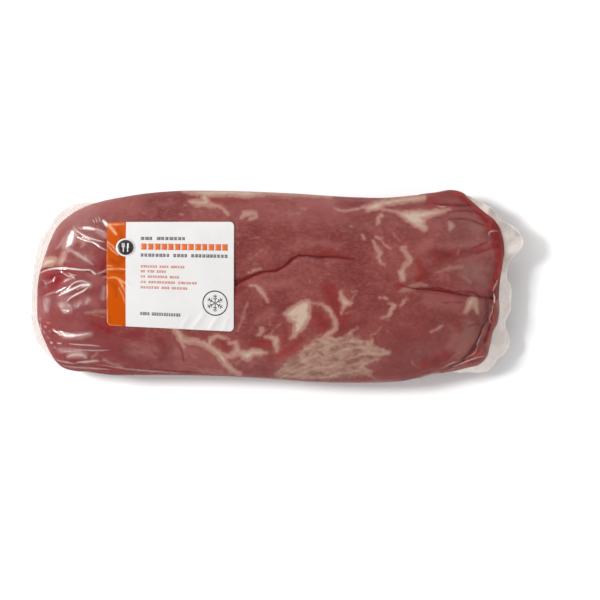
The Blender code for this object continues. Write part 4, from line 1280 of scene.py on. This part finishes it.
class MEATPACK_OT_film(bpy.types.Operator):
    """Make the film: a closed shell on the meat, with its folds and small wrinkles."""

    bl_idname = "meatpack.film"
    bl_label = "Film"

    def execute(self, context):
        sizes = context.scene.meatpack_sizes
        middle, edge = film_plan()
        x, y, share = ring_grid(middle, edge, 1.0 - (1.0 - np.linspace(0.0, 1.0, 98)) ** 1.2)
        top = points_of(x, y, film_top(x, y, sizes))
        turn = np.linspace(0.0, 0.5 * np.pi, 13)[1:]
        x, y, share = ring_grid(middle, edge, [*(FLAT_SHARE + (1.0 - FLAT_SHARE) * np.cos(turn)), 0.4, 0.0])
        rings = np.concatenate([top, points_of(x, y, under_height(share))])
        x, y, z = np.moveaxis(rings, -1, 0)
        px, py = photo_place(x, y, z)
        bare = (1.0 - label_share(x, y)) * ease((z - 0.008) / 0.006)
        ends = np.maximum(ease((118.0 - px) / 30.0), 0.5 * ease((px - 462.0) / 26.0))
        ruffle = 0.00016 * ends * crumple(0.45 * x, y, 0.0110, 71) ** 2
        # The normals all point out or all in, as one on the top tells
        normal = grid_normals(rings)
        if normal[len(top) // 2, 0, 2] < 0:
            normal = -normal
        rings = rings + normal * (ruffle * bare)[..., None]

        def milkiness(f):
            patchy = f.spread(f.noise(0.004, 3.0), 0.30, 0.62, 0.70, 1.0)
            return f.sum("ADD", f.sum("MULTIPLY", f.mark("milk_and_glints"), patchy), 0.004), 0.0, f.mark("matt")

        material = film_finish("clear_film", milkiness, (FILM_TINT,), (MILK_AND_GLINT_PINK, MILK_AND_GLINT_WHITE), 0.07, 0.30)
        piece = new_piece("film", rings, ring_faces(len(rings), rings.shape[1]), [material])
        x, y, z = plan_points(piece)
        px, py = photo_place(x, y, z)
        # The film's scattering share: painted glints, soft patches that are partly milky film and partly
        # painted reflection, and a painted reflection that grows towards the left and the back
        painted_glints = 0.88 * ease((stroke_depth(px, py, PAINTED_GLINTS) + 1.5) / 2.9)
        milk_and_reflection = 0.22 * ease((stroke_depth(px, py, MILK_AND_REFLECTION_PATCHES) + 3.0) / 5.0)
        hollow = ease((stroke_depth(px, py, (HOLLOW,)) + 4.0) / 6.0)
        reflection_haze = 0.030 * ease((112.0 - px) / 30.0) * (2.8 - 1.8 * ease((py - 215.0) / 40.0)) * (1.0 - hollow)
        set_mark(piece, "milk_and_glints", (np.maximum(painted_glints, milk_and_reflection) + reflection_haze) * (1.0 - label_share(x, y)) * (z > 0.012))
        set_mark(piece, "matt", ease((stroke_depth(px, py, MATT) + 3.0) / 6.0))
        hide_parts("vacuum_bag")
        return {"FINISHED"}


class MEATPACK_OT_folds(bpy.types.Operator):
    """Make the sharp folds in the film: narrow ridges that lie on it."""

    bl_idname = "meatpack.folds"
    bl_label = "Folds"

    def execute(self, context):
        sizes = context.scene.meatpack_sizes
        sheets, milk_and_glints = [], []
        across = np.linspace(-1.0, 1.0, 9)
        crest = 0.6 * (1.0 - across * across) ** 2 + 0.4 * (1.0 - np.abs(across)) ** 2
        for half, rise, white, line in FOLDS:
            run = line_run(line)
            at = np.linspace(0.0, run[-1], int(2.0 * run[-1]) + 6)
            line = np.array(line, dtype=float)
            x, y = film_place(smooth(at, np.column_stack([run, line[:, 0]])),
                              smooth(at, np.column_stack([run, line[:, 1]])), sizes)
            way = np.column_stack([np.gradient(x), np.gradient(y)])
            way /= np.linalg.norm(way, axis=1, keepdims=True)
            share = at / run[-1]
            taper = (4.0 * share * (1.0 - share)) ** 0.5
            wide = 1.9 * half * PIXEL * (0.35 + 0.65 * taper)
            xx = x + np.outer(across, -way[:, 1] * wide)
            yy = y + np.outer(across, way[:, 0] * wide)
            base = film_top(xx, yy, sizes)
            ridge = MM * rise * np.outer(crest, taper) + 0.00003
            sheets.append((xx, yy, base - 0.00004, base + ridge))
            # Whiteness along each crest: milky crease with a painted glint
            milk_and_glints += [white * np.outer(crest ** 1.2, taper).ravel()] * 2

        def milkiness(f):
            patchy = f.spread(f.noise(0.003, 3.0), 0.32, 0.60, 0.70, 1.0)
            return f.sum("MULTIPLY", f.mark("milk_and_glints"), patchy), 0.0, 0.0

        material = film_finish("folded_film", milkiness, (FOLD_TINT,), (MILK_AND_GLINT_PINK, MILK_AND_GLINT_WHITE), 0.06, 0.0)
        piece = new_piece("film_folds", *joined_sheets(sheets), [material], 0.0)
        set_mark(piece, "milk_and_glints", np.concatenate(milk_and_glints))
        return {"FINISHED"}


def make_frill(name, tip, side, end, reaches, root, heights, wave, seed, material):
    """Loose film round one end: a thin sheet by angle and share outwards. Its edge stands
    reaches beyond the widest line and its height runs evenly from its root to heights, both
    by angle, with soft folds of height wave that run outwards and grow towards the edge."""
    count, rows = 560, 36
    angle = np.linspace(reaches[0][0], reaches[-1][0], count)
    turn = np.radians(angle)
    line, loose = smooth(angle, end), smooth(angle, reaches)
    run = np.cumsum(np.concatenate([[0.0], np.diff(turn) * line[1:]]))
    loose = loose + 0.00014 * waves(run, 0.0 * run, 0.0048, seed) * ease(loose / 0.002)
    inside = 0.0015 + 0.15 * (root - SHOULDER)
    share = np.linspace(0.0, 1.0, rows)[:, None]
    far = line - inside + share * (inside + np.maximum(loose, -0.0010))
    x, y = tip + side * np.sin(turn) * far, np.cos(turn) * far
    out = 0.35 * share * loose
    folds = waves(run, out, 0.016, seed + 2) + 0.8 * (crumple(run, out, 0.014, seed + 4) - 0.5)
    folds = wave * share ** 0.7 * (folds + 0.25 * waves(run, out, 0.006, seed + 5))
    high = root + (smooth(angle, heights) - root) * share + folds
    piece = new_piece(name, *joined_sheets([(x, y, high - 0.00018, high)]), [material], 0.0)
    set_mark(piece, "out", np.tile(np.broadcast_to(share, x.shape).ravel(), 2))
    set_mark(piece, "far", np.tile((share * np.maximum(loose, 0.0) / MM).ravel(), 2))


class MEATPACK_OT_film_ends(bpy.types.Operator):
    """Make the loose film beyond the ends: folded sheets that stand off the meat."""

    bl_idname = "meatpack.film_ends"
    bl_label = "Film ends"

    def execute(self, context):
        def thin(f):
            out = f.sum("ADD", f.mark("out"), f.spread(f.noise(0.010), 0.3, 0.7, -0.10, 0.10))
            rim = f.spread(out, 0.84, 1.0, 0.0, 0.30)
            line = f.vein(out, 0.40, 0.09, 0.34)
            crease = f.vein(out, 0.66, 0.10, 0.9)
            soft = f.spread(f.noise(0.012, 3.0, 0.55, None, 0.5), 0.36, 0.66, 0.06, 0.22)
            return f.sum("ADD", soft, f.sum("ADD", rim, line)), crease, 0.5

        def thick(f):
            rim = f.spread(f.mark("out"), 0.88, 0.99, 0.0, 0.22)
            soft = f.spread(f.noise(0.014, 2.0, 0.5, None, 0.6), 0.36, 0.64, 0.46, 0.60)
            near = f.spread(f.mark("far"), 1.2, 4.2, 1.0, 0.0)
            front = f.spread(f.along("Y"), 0.040, -0.010, 0.0, 0.18)
            return f.sum("ADD", f.sum("ADD", soft, front), rim), near, 0.5

        clear = film_finish("left_film", thin, (LEFT_TINT, LEFT_CREASE), (VEIL_CREAM, MILK_AND_GLINT_WHITE), 0.16, 0.2)
        folded = film_finish("right_film", thick, (RIGHT_TINT, RIGHT_CREASE), (VEIL_DULL, VEIL_LIGHT),
                             0.22, 0.2)
        make_frill("left_film", LEFT_TIP, -1, LEFT_END, LEFT_FILM, SHOULDER, LEFT_HEIGHTS, 0.00045, 31, clear)
        make_frill("right_film", RIGHT_TIP, 1, RIGHT_END, RIGHT_FILM, SHOULDER + 0.0032, RIGHT_HEIGHTS,
                   0.00070, 51, folded)
        return {"FINISHED"}


class MEATPACK_OT_label(bpy.types.Operator):
    """Make the paper label: a sheet with round corners and soft wrinkles, orange at its left."""

    bl_idname = "meatpack.label"
    bl_label = "Label"

    def execute(self, context):
        sizes, colours = context.scene.meatpack_sizes, context.scene.meatpack_colours
        u = np.concatenate([np.linspace(0.0, BAND_SHARE, 27), np.linspace(BAND_SHARE, 1.0, 142)[1:]])
        v = np.linspace(0.0, 1.0, 140)
        uu, vv = np.meshgrid(u, v)
        x, y = uu * LABEL_WIDTH, vv * LABEL_HEIGHT
        a = np.abs(x - 0.5 * LABEL_WIDTH) - (0.5 * LABEL_WIDTH - CORNER_RADIUS)
        b = np.abs(y - 0.5 * LABEL_HEIGHT) - (0.5 * LABEL_HEIGHT - CORNER_RADIUS)
        corner = (a > 0) & (b > 0)
        pull = np.where(corner, np.maximum(a, b) / np.maximum(np.hypot(a, b), 1e-9), 1.0)
        shrink_a, shrink_b = np.where(corner, a * (pull - 1), 0.0), np.where(corner, b * (pull - 1), 0.0)
        uu = (x + np.sign(x - 0.5 * LABEL_WIDTH) * shrink_a) / LABEL_WIDTH
        vv = (y + np.sign(y - 0.5 * LABEL_HEIGHT) * shrink_b) / LABEL_HEIGHT
        x, y = np.moveaxis(label_plan(uu, vv), -1, 0)
        low = lay_on_film(x, y, sizes, sizes.label_lift)
        paper = print_finish("label_paper", colours.paper, 0.34)
        orange = print_finish("label_orange", colours.orange, 0.30, BAND_GLINT)
        points, faces = joined_sheets([(x, y, low, low + sizes.label_thick)])
        piece = new_piece("label_sheet", points, faces, [paper, orange])
        plan_x, plan_y, plan_z = plan_points(piece)
        px, py = photo_place(plan_x, plan_y, plan_z)
        # Painted glints and painted shade along the band's folds
        set_mark(piece, "glint", 0.80 * ease((stroke_depth(px, py, BAND_GLINTS) + 1.2) / 2.6))
        set_mark(piece, "shade", 0.9 * ease((stroke_depth(px, py, BAND_SHADES) + 2.5) / 4.5))
        back, front = label_plan(np.full(2, BAND_SHARE), np.array((0.0, 1.0)))
        edge = front[0] + (plan_y - front[1]) / (back[1] - front[1]) * (back[0] - front[0])
        in_band = plan_x < edge + 1e-5
        mesh = piece.data
        corners, starts = np.empty(len(mesh.loops), np.int32), np.empty(len(mesh.polygons), np.int32)
        mesh.loops.foreach_get("vertex_index", corners)
        mesh.polygons.foreach_get("loop_start", starts)
        banded = np.logical_and.reduceat(in_band[corners], starts)
        mesh.polygons.foreach_set("material_index", banded.astype(np.int32))
        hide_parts("label")
        return {"FINISHED"}


class MEATPACK_OT_print(bpy.types.Operator):
    """Print the label: fields of colour, blocks in place of lines, and two plain round signs."""

    bl_idname = "meatpack.print"
    bl_label = "Print"

    def execute(self, context):
        sizes, colours = context.scene.meatpack_sizes, context.scene.meatpack_colours
        ink = print_finish("ink", colours.ink, 0.35)
        grey = print_finish("grey_ink", GREY_INK)
        bold = print_finish("bold_ink", BOLD_INK)
        salmon = print_finish("salmon_ink", colours.salmon)
        white = print_finish("white_ink", WHITE_INK)
        left = 23.6
        grey_lines = (word_blocks(left, 11.2, 31.5, 2.3, (3, 7), 1)
                      + word_blocks(left, 23.4, 60.6, 2.3, (8, 4, 10), 2))
        printed("print_grey", grey_lines, FIRST_LAYER, sizes, grey)
        bold_line = word_blocks(left + 0.3, 16.1, 60.6, 4.5, (13,), 3, 0.80)
        printed("print_bold", bold_line, FIRST_LAYER, sizes, bold)
        small = []
        for top, wide, words in ((31.9, 30.7, (7, 4, 6)), (35.4, 17.6, (2, 3, 4)), (39.2, 26.9, (2, 8, 4)),
                                 (43.1, 39.1, (2, 10, 7)), (47.0, 32.6, (7, 3, 6))):
            small += word_blocks(left, top, wide, 1.7, words, int(top * 10))
        printed("print_small", small, FIRST_LAYER, sizes, salmon)
        foot_line = word_blocks(left - 0.4, 65.6, 28.3, 2.2, (4, 12), 8)
        printed("print_foot", foot_line, FIRST_LAYER, sizes, grey)

        x, y = badge = (13.1, 19.1)
        printed("badge_rim", [hoop(badge, 0.02, 6.7)], RIM_LAYER, sizes, white)
        printed("badge", [hoop(badge, 0.02, 5.6)], BADGE_LAYER, sizes, ink)
        fork = [turned_bar((x - 1.5, y), 3.4, 0.75, 90), bar(x - 2.6, y - 1.0, 2.2, 0.9)]
        fork += [bar(x - 2.6 + 0.8 * i, y - 3.2, 0.5, 2.4) for i in range(3)]
        knife = [bar(x + 1.1, y - 3.2, 1.2, 3.6), turned_bar((x + 1.5, y + 0.2), 3.2, 0.75, 90)]
        printed("badge_sign", fork + knife, SIGN_LAYER, sizes, white)

        x, y = flake = (75.2, 57.4)
        arms = []
        for angle in range(30, 390, 60):
            arms.append(turned_bar(flake, 5.6, 0.55, angle, 0.3))
            for out in (2.6, 4.2):
                knot = (x + out * math.cos(math.radians(angle)), y + out * math.sin(math.radians(angle)))
                arms += [turned_bar(knot, 1.7, 0.45, angle + turn) for turn in (-55, 55)]
        printed("cold_sign", [hoop(flake, 8.0, 8.8)] + arms, FIRST_LAYER, sizes, ink)
        return {"FINISHED"}


def area_light(name, place, aim, side, power):
    """A square soft light at a place, turned to face a point."""
    light = bpy.data.lights.new(name, "AREA")
    light.shape, light.size, light.energy = "SQUARE", side, power
    made = bpy.data.objects.new(name, light)
    bpy.context.scene.collection.objects.link(made)
    made.location = place
    made.rotation_mode = "QUATERNION"
    made.rotation_quaternion = (made.location - Vector(aim)).to_track_quat("Z", "Y")


class MEATPACK_OT_stage(bpy.types.Operator):
    """Set the pale floor, the soft lights, the world and the camera over the pack."""

    bl_idname = "meatpack.stage"
    bl_label = "Stage"

    def execute(self, context):
        scene = context.scene
        mesh = bpy.data.meshes.new("floor")
        half = 3.0
        corners = [(-half, -half, 0), (half, -half, 0), (half, half, 0), (-half, half, 0)]
        mesh.from_pydata(corners, [], [(0, 1, 2, 3)])
        floor = bpy.data.objects.new("floor", mesh)
        scene.collection.objects.link(floor)
        f = Finish("floor")
        colour = f.blend(f.noise(0.8, 1.0), (0.97, 0.97, 0.97, 1.0), (0.98, 0.98, 0.98, 1.0))
        f.put(colour, f.shader.inputs["Base Color"])
        f.fix("Roughness", 0.9)
        f.fix("Specular IOR Level", 0.0)
        mesh.materials.append(f.material)

        area_light("key", KEY_FAR * np.array(KEY_WAY), (0.0, 0.0, 0.02), KEY_SIDE, KEY_POWER)

        # The world's light is dark straight overhead, where the flat top would mirror it, and dim low down
        world = bpy.data.worlds.new("studio")
        scene.world = world
        world.use_nodes = True
        tree = world.node_tree
        way = tree.nodes.new("ShaderNodeSeparateXYZ")
        tree.links.new(tree.nodes.new("ShaderNodeTexCoord").outputs["Generated"], way.inputs[0])
        sky = tree.nodes["Background"]
        sky.inputs["Color"].default_value = (1.0, 1.0, 1.0, 1.0)
        socket = sky.inputs["Strength"]
        for low, high, to_low, to_high in ((0.72, 0.93, 1.12, 0.0), (-0.05, 0.42, 0.32, 1.0)):
            rise = tree.nodes.new("ShaderNodeMapRange")
            rise.interpolation_type = "SMOOTHSTEP"
            tree.links.new(way.outputs["Z"], rise.inputs["Value"])
            for socket_name, value in (("From Min", low), ("From Max", high),
                                       ("To Min", to_low), ("To Max", to_high)):
                rise.inputs[socket_name].default_value = value
            times = tree.nodes.new("ShaderNodeMath")
            times.operation = "MULTIPLY"
            times.inputs[1].default_value = 1.0
            tree.links.new(rise.outputs["Result"], times.inputs[0])
            tree.links.new(times.outputs[0], socket)
            socket = times.inputs[1]
        scene.view_settings.view_transform = "Standard"

        lift = math.radians(CAMERA_LIFT)
        data = bpy.data.cameras.new("camera")
        data.lens, data.sensor_width = LENS, SENSOR
        data.clip_start, data.clip_end = 0.05, 20.0
        camera = bpy.data.objects.new("camera", data)
        scene.collection.objects.link(camera)
        aim = np.array(VIEW_MIDDLE) + np.array((*SHIFT, 0.0))
        place = aim + CAMERA_FAR * np.array((0.0, -math.cos(lift), math.sin(lift)))
        camera.matrix_world = Matrix.Translation(place) @ Matrix.Rotation(0.5 * math.pi - lift, 4, "X")
        scene.camera = camera
        return {"FINISHED"}


class MEATPACK_PT_panel(bpy.types.Panel):
    """List the pieces of the pack."""

    bl_label = "Meat Pack"
    bl_idname = "MEATPACK_PT_panel"
    bl_space_type = "VIEW_3D"
    bl_region_type = "UI"
    bl_category = "Meat Pack"

    def draw(self, context):
        for operator in OPERATORS:
            self.layout.operator(operator.bl_idname)
        for group in (context.scene.meatpack_sizes, context.scene.meatpack_colours):
            for name in group.bl_rna.properties.keys():
                if name not in ("rna_type", "name"):
                    self.layout.prop(group, name)


OPERATORS = (MEATPACK_OT_stage, MEATPACK_OT_loins, MEATPACK_OT_juice, MEATPACK_OT_film,
             MEATPACK_OT_folds, MEATPACK_OT_film_ends, MEATPACK_OT_label, MEATPACK_OT_print)
CLASSES = (MEATPACK_PG_sizes, MEATPACK_PG_colours, *OPERATORS, MEATPACK_PT_panel)


def register():
    for made in CLASSES:
        bpy.utils.register_class(made)
    bpy.types.Scene.meatpack_sizes = PointerProperty(type=MEATPACK_PG_sizes)
    bpy.types.Scene.meatpack_colours = PointerProperty(type=MEATPACK_PG_colours)


def unregister():
    del bpy.types.Scene.meatpack_sizes
    del bpy.types.Scene.meatpack_colours
    for made in reversed(CLASSES):
        bpy.utils.unregister_class(made)


def main():
    register()
    bpy.ops.meatpack.stage()
    bpy.ops.meatpack.loins()
    bpy.ops.meatpack.juice()
    bpy.ops.meatpack.film()
    bpy.ops.meatpack.folds()
    bpy.ops.meatpack.film_ends()
    bpy.ops.meatpack.label()
    bpy.ops.meatpack.print()


if __name__ == "__main__":
    main()
